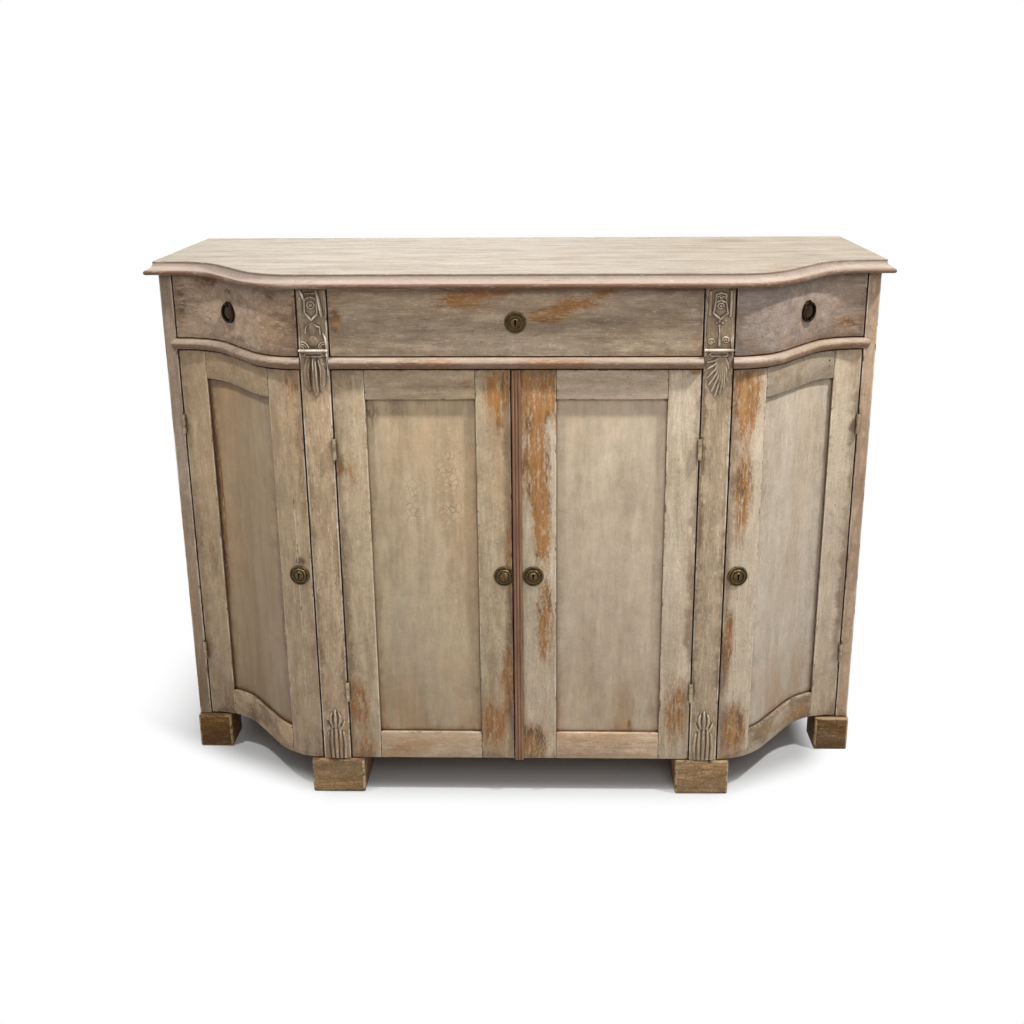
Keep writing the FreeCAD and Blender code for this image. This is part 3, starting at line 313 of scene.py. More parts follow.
    # crevices and corners darkened by ambient occlusion: painted shade, with dirt
    hollow = brush.corners(look["cornerSize"] * mm, *look["hollow"])
    corner = times(hollow, grade("smudge", 0.3, 0.6, 0.6, 1.0))
    lay(times(corner, look["corner"]), "creviceDirtAndShade")
    rough = grade("smudge", 0.3, 0.7, look["rough"] - 0.08, look["rough"] + 0.1)
    rough = plus(rough, times(bare, 0.12))
    brush.shader.inputs["Specular IOR Level"].default_value = look["sheen"]
    return brush.finish(colour, rough, height)


woodNoise = {"rings": (0.07, 26, 6, 0.62, 0.6), "vein": (0.07, 210, 5, 0.65),
             "blotch": (1, 8, 5, 0.6)}


def wood(name, look):
    brush = Brush(name)
    shift = (look["seed"], look["seed"] * 0.6, look["seed"] * 1.9)
    noise = brush.noises(woodNoise, look["grain"], shift)
    blotch = noise["blotch"]
    colour = brush.mix(brush.fade(noise["rings"], 0.32, 0.68), tone(*look["deep"]), tone(*look["mid"]))
    colour = brush.mix(brush.fade(noise["vein"], 0.42, 0.75, 0.0, 0.5), colour, tone(*look["pale"]))
    colour = brush.mix(brush.fade(blotch, 0.42, 0.7, 0.0, 0.45), colour, tone(*look["stain"]))
    edge = brush.times(brush.edges(look["edgeSize"] * mm, 0.01, 0.13), brush.fade(blotch, 0.3, 0.6))
    colour = brush.mix(brush.times(edge, look["edge"]), colour, tone(*look["rub"]))
    rough = brush.fade(blotch, 0.3, 0.7, look["rough"] - 0.1, look["rough"] + 0.1)
    height = brush.plus(brush.times(noise["rings"], 0.4), brush.times(noise["vein"], 0.6))
    return brush.finish(colour, rough, height)


metalNoise = {"cloud": (120, 6, 0.65), "pits": (700, 3, 0.6)}


def metal(name, look):
    brush = Brush(name)
    cloud = brush.noise(brush.place, *metalNoise["cloud"])
    pits = brush.noise(brush.place, *metalNoise["pits"])
    colour = brush.mix(brush.fade(cloud, 0.35, 0.65), tone(*look["deep"]), tone(*look["mid"]))
    edge = brush.times(brush.edges(look["edgeSize"] * mm, 0.02, 0.2), brush.fade(pits, 0.3, 0.6, 0.4, 1.0))
    colour = brush.mix(brush.times(edge, look["edge"]), colour, tone(*look["rub"]))
    colour = brush.mix(brush.fade(pits, 0.6, 0.72, 0.0, 0.5), colour, tone(*look["stain"]))
    darkening = brush.times(brush.corners(4 * mm, 0.9, 0.5), look["darkening"])
    colour = brush.mix(darkening, colour, tone(*look["stain"]))
    brush.shader.inputs["Metallic"].default_value = look["metallic"]
    rough = brush.fade(cloud, 0.3, 0.7, look["rough"] - 0.1, look["rough"] + 0.12)
    height = brush.plus(brush.times(cloud, 0.6), brush.times(pits, 0.4))
    return brush.finish(colour, rough, height, 0.0003, 0.4)


# modelling helpers
def inMetres(sizes):
    return [part * mm for part in sizes]


def turnTo(*axes):
    return Matrix(axes).transposed().to_4x4()


def addObject(name, data):
    item = bpy.data.objects.new(name, data)
    scene.collection.objects.link(item)
    return item


def unpick():
    bpy.ops.object.select_all(action="DESELECT")


def pick(piece):
    unpick()
    piece.select_set(True)
    bpy.context.view_layer.objects.active = piece


def mode(name):
    bpy.ops.object.mode_set(mode=name)


def choose(action):
    bpy.ops.mesh.select_all(action=action)


def shape(piece, kind, **values):
    pick(piece)
    modifier = piece.modifiers.new(kind.lower(), kind)
    for key, value in values.items():
        setattr(modifier, key, value)
    bpy.ops.object.modifier_apply(modifier=modifier.name)


def place(piece, node, material, angle=35):
    pick(piece)
    bpy.ops.object.shade_smooth_by_angle(angle=math.radians(angle))
    piece.data.materials.clear()
    piece.data.materials.append(material)
    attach(piece, bodyOf[node])
    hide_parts(node)


def startPiece(name, points=(), links=()):
    mesh = bpy.data.meshes.new(name)
    mesh.from_pydata(points, links, [])
    piece = addObject(name, mesh)
    pick(piece)
    mode("EDIT")
    choose("SELECT")
    return piece


# weld is in m, flat and sharp in degrees; faces narrower than this share of the rounding are arrises
copying = {"weld": 0.00001, "flat": 0.4, "sharp": 40, "strip": 0.9}


def wornCopy(node, material, edge, clear=None, segments=2):
    # the CAD piece with its arrises rounded over; edges within clear (x, z, radius) stay as they are
    piece = addObject(node + "_worn", nodes[node].data.copy())
    pick(piece)
    if piece.data.has_custom_normals:
        bpy.ops.mesh.customdata_custom_splitnormals_clear()
    mode("EDIT")
    choose("SELECT")
    bpy.ops.mesh.remove_doubles(threshold=copying["weld"])
    bpy.ops.mesh.dissolve_limited(angle_limit=math.radians(copying["flat"]))
    choose("DESELECT")
    if edge:
        bpy.ops.mesh.select_mode(type="EDGE")
        bpy.ops.mesh.edges_select_sharp(sharpness=math.radians(copying["sharp"]))
        if clear:
            work = bmesh.from_edit_mesh(piece.data)
            for line in work.edges:
                middle = (line.verts[0].co + line.verts[1].co) / 2
                if math.hypot(middle.x - clear[0], middle.z - clear[1]) < clear[2]:
                    line.select_set(False)
            bmesh.update_edit_mesh(piece.data)
        bpy.ops.mesh.bevel(offset=edge * mm, segments=segments, profile=0.5, clamp_overlap=False)
    mode("OBJECT")
    arris = piece.data.attributes.new("arris", "FLOAT", "FACE")
    spots = [vertex.co for vertex in piece.data.vertices]
    for mark, side in zip(arris.data, piece.data.polygons):
        longest = max((spots[a] - spots[b]).length for a, b in side.edge_keys)
        narrow = copying["strip"] * edge * mm * longest
        mark.value = float(side.area < narrow)  # narrow strips are the rounded arrises
    place(piece, node, material)


def centreOf(node):
    low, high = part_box(node)
    return (low + high) / 2


# paint on the flat and curved fronts
# spots, stains and cracks are (across, up, half width mm, half height mm, gain) ovals
# clear is (node, mm): arrises that near to the node's middle stay sharp
paintLooks = {
    # the left end door's stiles and panel get darker paint than the right end door's: partly painted shade,
    # for light from the right
    "left_end_door_stiles": {
        "gain": (0.94, 0.9, 0.89), "deep": (156, 135, 105), "mid": (178, 157, 126),
        "pale": (196, 176, 144), "foot": 0.9, "footTone": (106, 84, 52),
        "clear": ("left_end_door_key_plate", 14),
        "spots": ((0.93, 0.965, 32, 51, 0.54), (0.96, 0.761, 9, 93, 0.3), (0.11, 0.5, 9, 220, 0.3),
                  (0.05, 0.2, 12, 90, 0.25), (0.9, 0.08, 30, 40, 0.3)),
        "stains": ((0.92, 0.53, 17, 13, 1.5),)},
    "left_end_door_rails": {
        "gain": (0.92, 0.83, 0.74), "mid": (174, 154, 125), "pale": (192, 173, 144), "foot": 1.0,
        "footTone": (90, 68, 38), "spots": ((0.4, 0.98, 60, 25, 0.25), (0.7, 0.02, 70, 24, 0.3))},
    "left_end_door_panel": {
        "gain": (0.86, 0.81, 0.77), "deep": (148, 128, 100), "mid": (168, 148, 118),
        "pale": (184, 164, 133), "wood": (140, 98, 60), "woodDeep": (104, 72, 46),
        "woodRed": (132, 84, 52), "foot": 0.7, "footTone": (132, 108, 72), "darkerBorder": 0.5, "border": 26.0,
        "spots": ((0.085, 0.6, 11, 330, 0.9), (0.92, 0.3, 8, 120, 0.5))},
    "left_door_stiles": {
        "gain": (0.98, 0.95, 0.93), "cracks": ((0.92, 0.63, 22, 60, 0.7), (0.93, 0.33, 24, 60, 0.7)),
        "spots": ((0.95, 0.955, 48, 75, 0.95), (0.94, 0.868, 16, 29, 0.54), (0.01, 0.766, 25, 24, 0.68),
                  (0.08, 0.751, 18, 50, 0.36), (0.09, 0.97, 28, 26, 0.28), (0.97, 0.22, 22, 109, 0.68),
                  (0.88, 0.09, 41, 85, 0.65), (0.06, 0.14, 36, 90, 0.75), (0.97, 0.536, 12, 90, 0.4),
                  (0.985, 0.5, 9, 430, 0.36), (0.1, 0.03, 41, 41, 0.54)),
        "stains": ((0.94, 0.86, 12, 26, 0.7), (0.13, 0.97, 14, 22, 0.4))},
    "left_door_rails": {
        "gain": (1.05, 1.0, 0.98), "mid": (174, 157, 132), "pale": (192, 175, 149),
        "spots": ((0.8, 0.04, 60, 22, 0.3), (0.2, 0.03, 70, 20, 0.3), (0.93, 0.97, 22, 30, 0.3))},
    "left_door_panel": {
        "gain": (1.05, 1.02, 1.01), "deep": (164, 145, 115), "mid": (184, 165, 134),
        "pale": (204, 187, 156), "bare": 0.5, "darkerBorder": 0.35,
        "cracks": ((0.72, 0.74, 42, 140, 1.2), (0.4, 0.7, 30, 80, 1.0), (0.75, 0.45, 24, 60, 0.5),
                   (0.8, 0.15, 24, 60, 0.6)),
        "stains": ((0.07, 0.95, 24, 40, 0.9), (0.3, 0.955, 40, 18, 0.4))},
    "right_door_stiles": {
        "gain": (1.11, 1.11, 1.12), "deep": (168, 148, 121), "mid": (190, 171, 145),
        "pale": (210, 194, 169), "clear": ("right_door_key_plate", 14),
        "cracks": ((0.9, 0.7, 20, 60, 0.5),),
        "spots": ((0.11, 0.96, 75, 110, 1.1), (0.12, 0.78, 39, 121, 0.81), (0.16, 0.63, 28, 133, 0.78),
                  (0.17, 0.38, 28, 169, 0.68), (0.12, 0.05, 50, 68, 0.74), (0.93, 0.12, 40, 120, 0.8),
                  (0.97, 0.997, 15, 12, 0.94), (0.03, 0.5, 9, 420, 0.3)),
        "stains": ((0.2, 0.4, 8, 140, 0.6), (0.2, 0.75, 7, 120, 0.5))},
    "right_door_rails": {
        "gain": (1.12, 1.08, 1.1), "mid": (184, 166, 142), "pale": (202, 185, 162),
        "spots": ((0.5, 0.03, 140, 30, 0.32),)},
    "right_door_panel": {
        "gain": (1.1, 1.08, 1.08), "deep": (174, 156, 132), "mid": (188, 171, 146),
        "pale": (202, 187, 164), "bare": 0.56, "most": 0.9, "darkerBorder": 0.2,
        "spots": ((0.7, 0.03, 7, 20, 1.0),), "stains": ((0.97, 0.06, 10, 24, 0.6),)},
    "right_end_door_stiles": {
        "gain": (0.98, 0.97, 0.97), "deep": (176, 156, 130), "mid": (196, 179, 154),
        "pale": (212, 197, 173), "clear": ("right_end_door_key_plate", 14),
        "spots": ((0.1, 0.94, 46, 109, 0.92), (0.1, 0.71, 32, 157, 0.7), (0.04, 0.33, 16, 169, 0.65),
                  (0.12, 0.09, 41, 80, 0.8), (0.95, 0.1, 14, 60, 0.4)),
        "stains": ((0.02, 0.3, 7, 150, 0.6),)},
    "right_end_door_rails": {
        "gain": (0.69, 0.68, 0.68), "mid": (190, 173, 148), "pale": (208, 192, 167), "foot": 1.0,
        "footTone": (104, 82, 52), "spots": ((0.6, 0.03, 100, 30, 0.4),),
        "stains": ((0.93, 0.976, 3, 3, 4.0), (0.93, 0.962, 3, 3, 4.0))},
    "right_end_door_panel": {
        "gain": (0.91, 0.91, 0.93), "deep": (179, 163, 140), "mid": (193, 178, 156),
        "pale": (208, 194, 173), "streak": 0.05, "grit": 0.06, "bare": 0.56, "darkerBorder": 0.3, "scratch": 0.3,
        "nicks": 0.4, "fleck": 0.25},
    "centre_drawer_front": {
        "gain": (1.08, 1.03, 1.03), "deep": (124, 106, 82), "mid": (158, 141, 116),
        "pale": (192, 175, 149), "cool": (150, 139, 122), "clear": ("centre_drawer_key_plate", 14),
        "spots": ((0.37, 0.833, 96, 34, 0.68), (0.585, 0.6, 64, 24, 0.81), (0.66, 0.77, 69, 22, 0.76),
                  (0.74, 0.93, 50, 16, 0.68), (0.02, 0.54, 18, 63, 0.57), (0.98, 0.24, 14, 24, 0.36),
                  (0.45, 0.96, 82, 12, 0.54)),
        "stains": ((0.72, 0.5, 60, 16, 0.5), (0.25, 0.4, 60, 12, 0.35), (0.9, 0.45, 40, 10, 0.35))},
    "left_drawer_front": {
        "gain": (1.05, 0.98, 0.93), "deep": (140, 116, 95), "mid": (172, 150, 127),
        "pale": (204, 184, 160), "cool": (160, 145, 132), "wood": (136, 92, 58), "woodRed": (132, 80, 48),
        "spots": ((0.27, 0.93, 40, 15, 0.85), (0.45, 0.82, 20, 9, 0.7), (0.84, 0.9, 22, 16, 0.5),
                  (0.99, 0.6, 10, 65, 0.5), (0.5, 0.1, 40, 12, 0.36)),
        "stains": ((0.05, 0.6, 16, 70, 1.3), (0.93, 0.5, 26, 60, 0.7), (0.35, 0.97, 60, 10, 0.6),
                   (0.55, 0.13, 24, 8, 0.8))},
    "right_drawer_front": {
        "gain": (0.77, 0.76, 0.79), "deep": (144, 124, 106), "mid": (172, 153, 135),
        "pale": (200, 183, 165), "cool": (160, 147, 137), "wood": (150, 116, 84),
        "woodRed": (148, 104, 72),
        "spots": ((0.88, 0.2, 60, 32, 0.42), (0.55, 0.35, 60, 20, 0.3), (0.1, 0.23, 22, 24, 0.36))},
    "left_pilaster": {
        "gain": (1.08, 1.01, 0.96), "deep": (154, 134, 107), "mid": (174, 154, 126),
        "pale": (194, 175, 147), "arris": 1.0, "clear": ("left_end_door_lock_bolt", 34),
        "spots": ((0.9, 0.45, 9, 160, 0.26), (0.1, 0.25, 9, 60, 0.26))},
    "right_pilaster": {
        "gain": (0.99, 0.94, 0.9), "deep": (160, 140, 113), "mid": (180, 161, 134),
        "pale": (200, 182, 155), "arris": 1.0, "darkerBorder": 0.75, "clear": ("right_end_door_lock_bolt", 34),
        "spots": ((0.1, 0.55, 9, 160, 0.26),)},
    # the left side gets darker paint than the right side: partly painted shade, for light from the right
    "left_side": {
        "gain": (0.84, 0.78, 0.76), "deep": (164, 147, 127), "mid": (180, 164, 144),
        "pale": (196, 181, 161), "foot": 0.9, "footTone": (102, 79, 47)},
    "right_side": {
        "gain": (1.08, 0.97, 0.9), "deep": (168, 147, 123), "mid": (188, 168, 145),
        "pale": (204, 186, 163)},
    # the bead's bands: the dark lower band is painted shade with brown wear, the pale upper band a painted
    # highlight
    "waist_beads": {
        "grain": "x", "gain": (0.88, 0.88, 0.87), "deep": (126, 100, 79), "mid": (158, 135, 113),
        "pale": (184, 163, 142), "cool": (188, 166, 150), "streak": 0.16, "wood": (166, 106, 66),
        "woodDeep": (120, 74, 44), "foot": 0.0, "bare": 0.36, "edge": 0.0, "arris": 0.0, "scratch": 0.8,
        "spots": ((0.55, 0.5, 124, 22, 0.74), (0.38, 0.5, 101, 20, 0.54)),
        "bands": ((-1, 11, (116, 84, 61), 0.9), (13.5, 19.5, (188, 169, 150), 0.45))},
    # on the top's edge, the dark band on the lip is painted shade with brown wear
    "top_board": {
        "grain": "x", "gain": (0.75, 0.74, 0.73), "deep": (150, 134, 112), "mid": (174, 160, 140),
        "pale": (194, 184, 168), "cool": (166, 154, 135), "warm": (172, 150, 124), "warmth": 0.35,
        "wash": 0.55, "strokes": 0.8, "wood": (150, 112, 84), "woodDeep": (112, 80, 60), "foot": 0.0,
        "bare": 0.52, "edge": 0.1, "arris": 0.0,
        "bands": ((-1, 9, (104, 68, 44), 1.0), (9, 20, (174, 154, 140), 0.85),
                  (20.5, 22.8, (112, 90, 82), 0.8))},
}
touches = {
    "panel": {
        "wash": 0.25, "strokes": 0.4, "streak": 0.025, "grit": 0.035, "arris": 0.3, "scratch": 0.15,
        "nicks": 0.2, "fleck": 0.1},
    "drawer_front": {
        "grain": "x", "wash": 0.6, "streak": 0.08, "grit": 0.08, "foot": 0.0, "arris": 0.45, "darkerBorder": 0.5,
        "border": 14.0, "scratch": 0.65, "nicks": 0.8, "fleck": 0.3},
    "stiles": {"arris": 0.4, "darkerBorder": 0.65, "border": 16.0},
    "rails": {"grain": "x", "arris": 0.2},
    "pilaster": {"streak": 0.1, "darkerBorder": 0.5, "border": 9.0, "scratch": 0.75, "nicks": 0.9, "fleck": 0.4},
    "side": {"darkerBorder": 0.4},
}
# how far arrises are rounded over, in mm
roundOver = {"plain": 1.9, "top_board": 0.0, "waist_beads": 0.0, "left_pilaster": 2.4, "right_pilaster": 2.4,
             "feet": 4.0, "hinges": 0.3}
for count, (node, look) in enumerate(paintLooks.items(), 1):
    for kind, touch in touches.items():
        if node.endswith(kind):
            look = {**touch, **look}
    look = {**look, "seed": count}
    clear = None
    if "clear" in look:
        keep = centreOf(look["clear"][0])
        clear = (keep.x, keep.z, look["clear"][1] * mm)
    paint = wornPaint(node + "_paint", look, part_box(node))
    wornCopy(node, paint, roundOver.get(node, roundOver["plain"]), clear)
print("painted fronts done")

# feet, strip and hinges
footPaint = {
    "grain": "x", "under": (196, 170, 132), "warm": (150, 114, 76), "arris": 0.7, "bare": 0.3, "foot": 0.0,
    "edge": 0.3, "streak": 0.06, "grit": 0.24, "wash": 0.8, "scratch": 0.6, "nicks": 0.9, "strokes": 0.7,
    "rough": 0.62, "bands": ((-1, 5, (74, 54, 36), 0.6),), "sheen": 0.15,
}
# the end and rear feet get darker paint than the front feet: painted shade
shadedFoot = {
    "gain": (1.0, 0.84, 0.5), "deep": (76, 56, 34), "mid": (100, 77, 49), "pale": (130, 103, 70),
    "cool": (90, 70, 48), "wood": (84, 58, 34), "woodDeep": (56, 38, 22),
}
footLooks = {
    "front_feet": {
        "gain": (1.14, 1.12, 1.08), "deep": (110, 84, 56), "mid": (140, 112, 82), "pale": (172, 144, 108),
        "cool": (124, 100, 76), "wood": (116, 82, 50), "woodDeep": (78, 52, 32), "seed": 31.0},
    "end_feet": {**shadedFoot, "seed": 32.0},
    "rear_feet": {**shadedFoot, "seed": 33.0},
}
for node, look in footLooks.items():
    paint = wornPaint(node + "_finish", {**look, **footPaint}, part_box(node))
    wornCopy(node, paint, roundOver["feet"], segments=3)
stripLook = {
    "grain": "z", "deep": (90, 57, 38), "mid": (138, 97, 68), "pale": (174, 139, 108), "stain": (80, 47, 32),
    "rub": (196, 166, 140), "edge": 0.5, "edgeSize": 3.0, "rough": 0.45, "seed": 5.0,
}
reeds = {"count": 3, "steps": 10, "deep": 2.4}
low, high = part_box("meeting_strip")
outline = [(high.x, high.y, low.z), (low.x, high.y, low.z)]
for reed in range(reeds["count"]):
    for step in range(reeds["steps"] + 1):
        share = (reed + step / reeds["steps"]) / reeds["count"]
        swell = math.sin(math.pi * step / reeds["steps"])
        outline.append((low.x + share * (high.x - low.x), low.y + (1 - swell) * reeds["deep"] * mm, low.z))
links = [(i, (i + 1) % len(outline)) for i in range(len(outline))]
strip = startPiece("meeting_strip_reeded", outline, links)
bpy.ops.mesh.remove_doubles(threshold=copying["weld"])
bpy.ops.mesh.edge_face_add()
bpy.ops.mesh.extrude_region_move(TRANSFORM_OT_translate={"value": (0, 0, high.z - low.z)})
choose("SELECT")
bpy.ops.mesh.normals_make_consistent(inside=False)
mode("OBJECT")
place(strip, "meeting_strip", wood("strip_wood", stripLook), angle=50)
hingeLook = {
    "deep": (128, 110, 84), "mid": (182, 166, 136), "rub": (232, 220, 196), "stain": (104, 82, 56),
    "edge": 0.6, "edgeSize": 1.5, "metallic": 0.45, "rough": 0.4, "darkening": 0.7,
}
hingeBrass = metal("hinge_brass", hingeLook)
for node in nodes:
    if node.endswith("hinge_leaves"):
        wornCopy(node, hingeBrass, roundOver["hinges"])
print("feet, strip and hinges done")

# inside boards and locks keep the CAD meshes
insideLook = {
    "deep": (112, 80, 52), "mid": (154, 116, 80), "pale": (176, 140, 102), "stain": (104, 76, 52),
    "rub": (184, 152, 116), "edge": 0.4, "edgeSize": 3.0, "rough": 0.65,
}
insideGrain = {
    "partitions": "z", "bottom_board": "x", "back_boards": "z", "drawer_decks": "x", "drawer_guides": "y",
    "shelves": "x", "shelf_cleats": "y", "centre_drawer_box": "y", "left_drawer_box": "y",
    "right_drawer_box": "y",
}
for count, (node, grain) in enumerate(insideGrain.items()):
    look = {**insideLook, "grain": grain, "seed": count * 1.3}
    nodes[node].material_slots[0].material = wood(node + "_wood", look)
ironLook = {
    "deep": (34, 31, 28), "mid": (58, 53, 48), "rub": (112, 105, 95), "stain": (70, 46, 31), "edge": 0.5,
    "edgeSize": 1.5, "metallic": 0.5, "rough": 0.55, "darkening": 0.8,
}
iron = metal("lock_iron", ironLook)
for node, slot in slotOf.items():
    if slot == "lock_iron":
        nodes[node].material_slots[0].material = iron
print("inside boards and locks done")


# key plates and pulls, turned in local axes: -Y faces out, the face of the wood is at y 0
def facing(node):
    total = Vector()
    for side in nodes[node].data.polygons:
        if side.normal.y < -0.5:
            total += side.area * side.normal
    total.z = 0
    return total.normalized()


def acrossFrom(out):
    return Vector((-out.y, out.x, 0))


def seatAt(out, aside, reach, rise):
    # local axes turned to face out, set at a place measured across, outwards and up
    across = acrossFrom(out)
    spot = across * aside + out * reach + Vector((0, 0, rise))
    return Matrix.Translation(spot) @ turnTo(across, -out, Vector((0, 0, 1)))


def settle(piece, seat):
    piece.matrix_world = seat
    pick(piece)
    bpy.ops.object.transform_apply(location=True, rotation=True, scale=True)


def plateSeat(node, proud):
    # the node's own place: its outermost face is at y = -proud
    out = facing(node)
    points = [vertex.co for vertex in nodes[node].data.vertices]
    sides = [point.dot(acrossFrom(out)) for point in points]
    heights = [point.z for point in points]
    radius = (max(heights) - min(heights)) / 2
    reach = max(point.dot(out) for point in points) - proud * mm
    return seatAt(out, min(sides) + radius, reach, (max(heights) + min(heights)) / 2)


spinning = {"steps": 72, "weld": 0.00002}


def turned(name, profile):
    # spun about the Y axis from (radius, height) pairs in mm
    points = [(radius * mm, -height * mm, 0) for radius, height in profile]
    piece = startPiece(name, points, [(i, i + 1) for i in range(len(points) - 1)])
    bpy.ops.mesh.spin(steps=spinning["steps"], angle=math.tau, center=(0, 0, 0), axis=(0, 1, 0))
    choose("SELECT")
    bpy.ops.mesh.remove_doubles(threshold=spinning["weld"])
    bpy.ops.mesh.normals_make_consistent(inside=False)
    return piece


def carveOut(piece, add, **values):
    # a piece in object mode, less a shape that is added and then removed
    unpick()
    add(**values)
    cutter = bpy.context.object
    shape(piece, "BOOLEAN", object=cutter, operation="DIFFERENCE", solver="EXACT")
    bpy.data.objects.remove(cutter, do_unlink=True)


def carveBox(piece, size, spot):
    carveOut(piece, bpy.ops.mesh.primitive_cube_add, size=1, location=inMetres(spot), scale=inMetres(size))


plateProfile = ((0, -3), (19, -3), (19, 1.0), (18.7, 1.8), (18.0, 2.2), (17.2, 2.1), (16.6, 1.3), (16.2, 0.5),
                (14.2, 0.5), (13.6, 1.4), (13.2, 2.8), (12.6, 3.4), (11.7, 3.4), (11.2, 2.6), (10.8, 1.5),
                (9.0, 1.5), (8.4, 3.1), (7.4, 4.1), (5.8, 4.7), (3.4, 4.95), (0, 5.0))
keyShape = {  # sizes and places in mm
    "proud": 5.0, "nails": ((10.6, 10.9), (0.4, -15.0), (-15.0, 0.5)), "nailSize": 1.3,
    "hole": 2.7, "deep": 20.0, "holeAt": (0, -2.0, 3.0), "slot": (3.4, 20.0, 9.5), "slotAt": (0, -2.0, -1.75),
    "blind": (2.0, 9.0, 10.0), "blindAt": (0, -4.0, 0),
}
brassLook = {
    "deep": (62, 48, 28), "mid": (112, 91, 55), "rub": (190, 166, 116), "stain": (34, 25, 15), "edge": 0.8,
    "edgeSize": 1.2, "metallic": 0.75, "rough": 0.38, "darkening": 0.95,
}
brass = metal("plate_brass", brassLook)


def keyPlate(node):
    # the left middle door's plate is blind and trimmed along the meeting strip
    blind = node == "left_door_key_plate"
    nail = keyShape["nailSize"] * mm
    piece = turned(node + "_turned", plateProfile)
    mode("OBJECT")
    if blind:
        carveBox(piece, keyShape["blind"], keyShape["blindAt"])
    else:
        carveOut(piece, bpy.ops.mesh.primitive_cylinder_add, vertices=32, radius=keyShape["hole"] * mm,
                 depth=keyShape["deep"] * mm, location=inMetres(keyShape["holeAt"]),
                 rotation=(math.pi / 2, 0, 0))
        carveBox(piece, keyShape["slot"], keyShape["slotAt"])
    # the nails come after the cuts, which would drop some of them, not the same ones each run
    mode("EDIT")
    choose("DESELECT")
    for across, up in keyShape["nails"]:
        bpy.ops.mesh.primitive_uv_sphere_add(segments=16, ring_count=8, radius=nail,
                                             location=(across * mm, -nail, up * mm))
    mode("OBJECT")
    settle(piece, plateSeat(node, keyShape["proud"]))
    if blind:
        mode("EDIT")
        choose("SELECT")
        bpy.ops.mesh.bisect(plane_co=(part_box(node)[1].x, 0, 0), plane_no=(1, 0, 0), use_fill=True,
                            clear_outer=True)
        mode("OBJECT")
    place(piece, node, brass)


for node in nodes:
    if node.endswith("key_plate"):
        keyPlate(node)

pullProfile = ((0, -1), (18.5, -1), (18.5, 0.8), (18.0, 1.8), (17.0, 2.4), (15.6, 2.3), (14.4, 1.8),
               (13.7, 2.2), (13.2, 3.3), (11.8, 4.3), (9.0, 5.0), (5.0, 5.4), (0, 5.5))
bronzeLook = {
    "deep": (30, 21, 13), "mid": (50, 37, 23), "rub": (132, 104, 64), "stain": (20, 15, 11), "edge": 0.6,
    "edgeSize": 1.2, "metallic": 0.95, "rough": 0.36, "darkening": 0.9,
}
bronze = metal("pull_bronze", bronzeLook)
dishBronze = metal("dish_bronze", {**bronzeLook, "deep": (42, 29, 16), "mid": (64, 46, 26)})
ringShape = {"radius": 16.5, "wire": 2.0, "stand": 5.1, "eye": 3.4, "eyeWire": 1.1, "eyeStretch": 1.5,
             "full": 1.03, "swell": 0.15}
ringSize = {key: ringShape[key] * mm for key in ("radius", "wire", "stand", "eye", "eyeWire")}
for side in ("left", "right"):
    plate, ring = side + "_drawer_pull_plate", side + "_drawer_pull_ring"
    piece = turned(plate + "_turned", pullProfile)
    choose("DESELECT")
    bpy.ops.mesh.primitive_torus_add(major_radius=ringSize["eye"], minor_radius=ringSize["eyeWire"],
                                     major_segments=32, minor_segments=12, rotation=(0, math.pi / 2, 0),
                                     location=(0, -ringSize["stand"], ringSize["radius"]))
    bpy.ops.transform.resize(value=(ringShape["eyeStretch"], 1, 1), center_override=(0, 0, 0))
    mode("OBJECT")
    out = facing(plate)
    heart = centreOf(ring)
    seat = seatAt(out, heart.dot(acrossFrom(out)), heart.dot(out) - ringSize["stand"], heart.z)
    settle(piece, seat)
    place(piece, plate, dishBronze)
    loop = startPiece(ring + "_wire")
    bpy.ops.mesh.primitive_torus_add(major_radius=ringSize["radius"], minor_radius=ringSize["wire"],
                                     major_segments=80, minor_segments=16, rotation=(math.pi / 2, 0, 0),
                                     location=(0, -ringSize["stand"], 0))
    mode("OBJECT")
    for vertex in loop.data.vertices:
        way = Vector((vertex.co.x, 0, vertex.co.z)).normalized()
        core = way * ringSize["radius"] + Vector((0, -ringSize["stand"], 0))
        vertex.co = core + (vertex.co - core) * (ringShape["full"] - ringShape["swell"] * way.z)
    settle(loop, seat)
    place(loop, ring, bronze)
print("plates and pulls done")


# carved ornament on the pilasters: (across, out, up) in mm from the pilaster's middle, its face and the floor
def sourceMesh(add, **values):
    unpick()
    add(**values)
    item = bpy.context.object
    mesh = item.data
    bpy.data.objects.remove(item, do_unlink=True)
    return mesh


roundMesh = sourceMesh(bpy.ops.mesh.primitive_uv_sphere_add, segments=18, ring_count=10, radius=1)
rodMesh = sourceMesh(bpy.ops.mesh.primitive_cylinder_add, vertices=16, radius=1, depth=1)
blockMesh = sourceMesh(bpy.ops.mesh.primitive_cube_add, size=1)
# on the carving, the pale rubbed colour on the ridges is partly a painted highlight, and the darkened hollows
# and crevices are painted shade with dirt
carvingPaint = {
    "ridges": True, "edge": 0.02, "bare": 0.36, "arris": 0.55, "cornerSize": 8.0, "hollow": (0.95, 0.45),
    "corner": 0.85, "creviceDirtAndShade": (80, 59, 41), "nicks": 0.9, "scratch": 0.75, "wash": 0.7, "fleck": 0.4,
    "foot": 0.0,
}
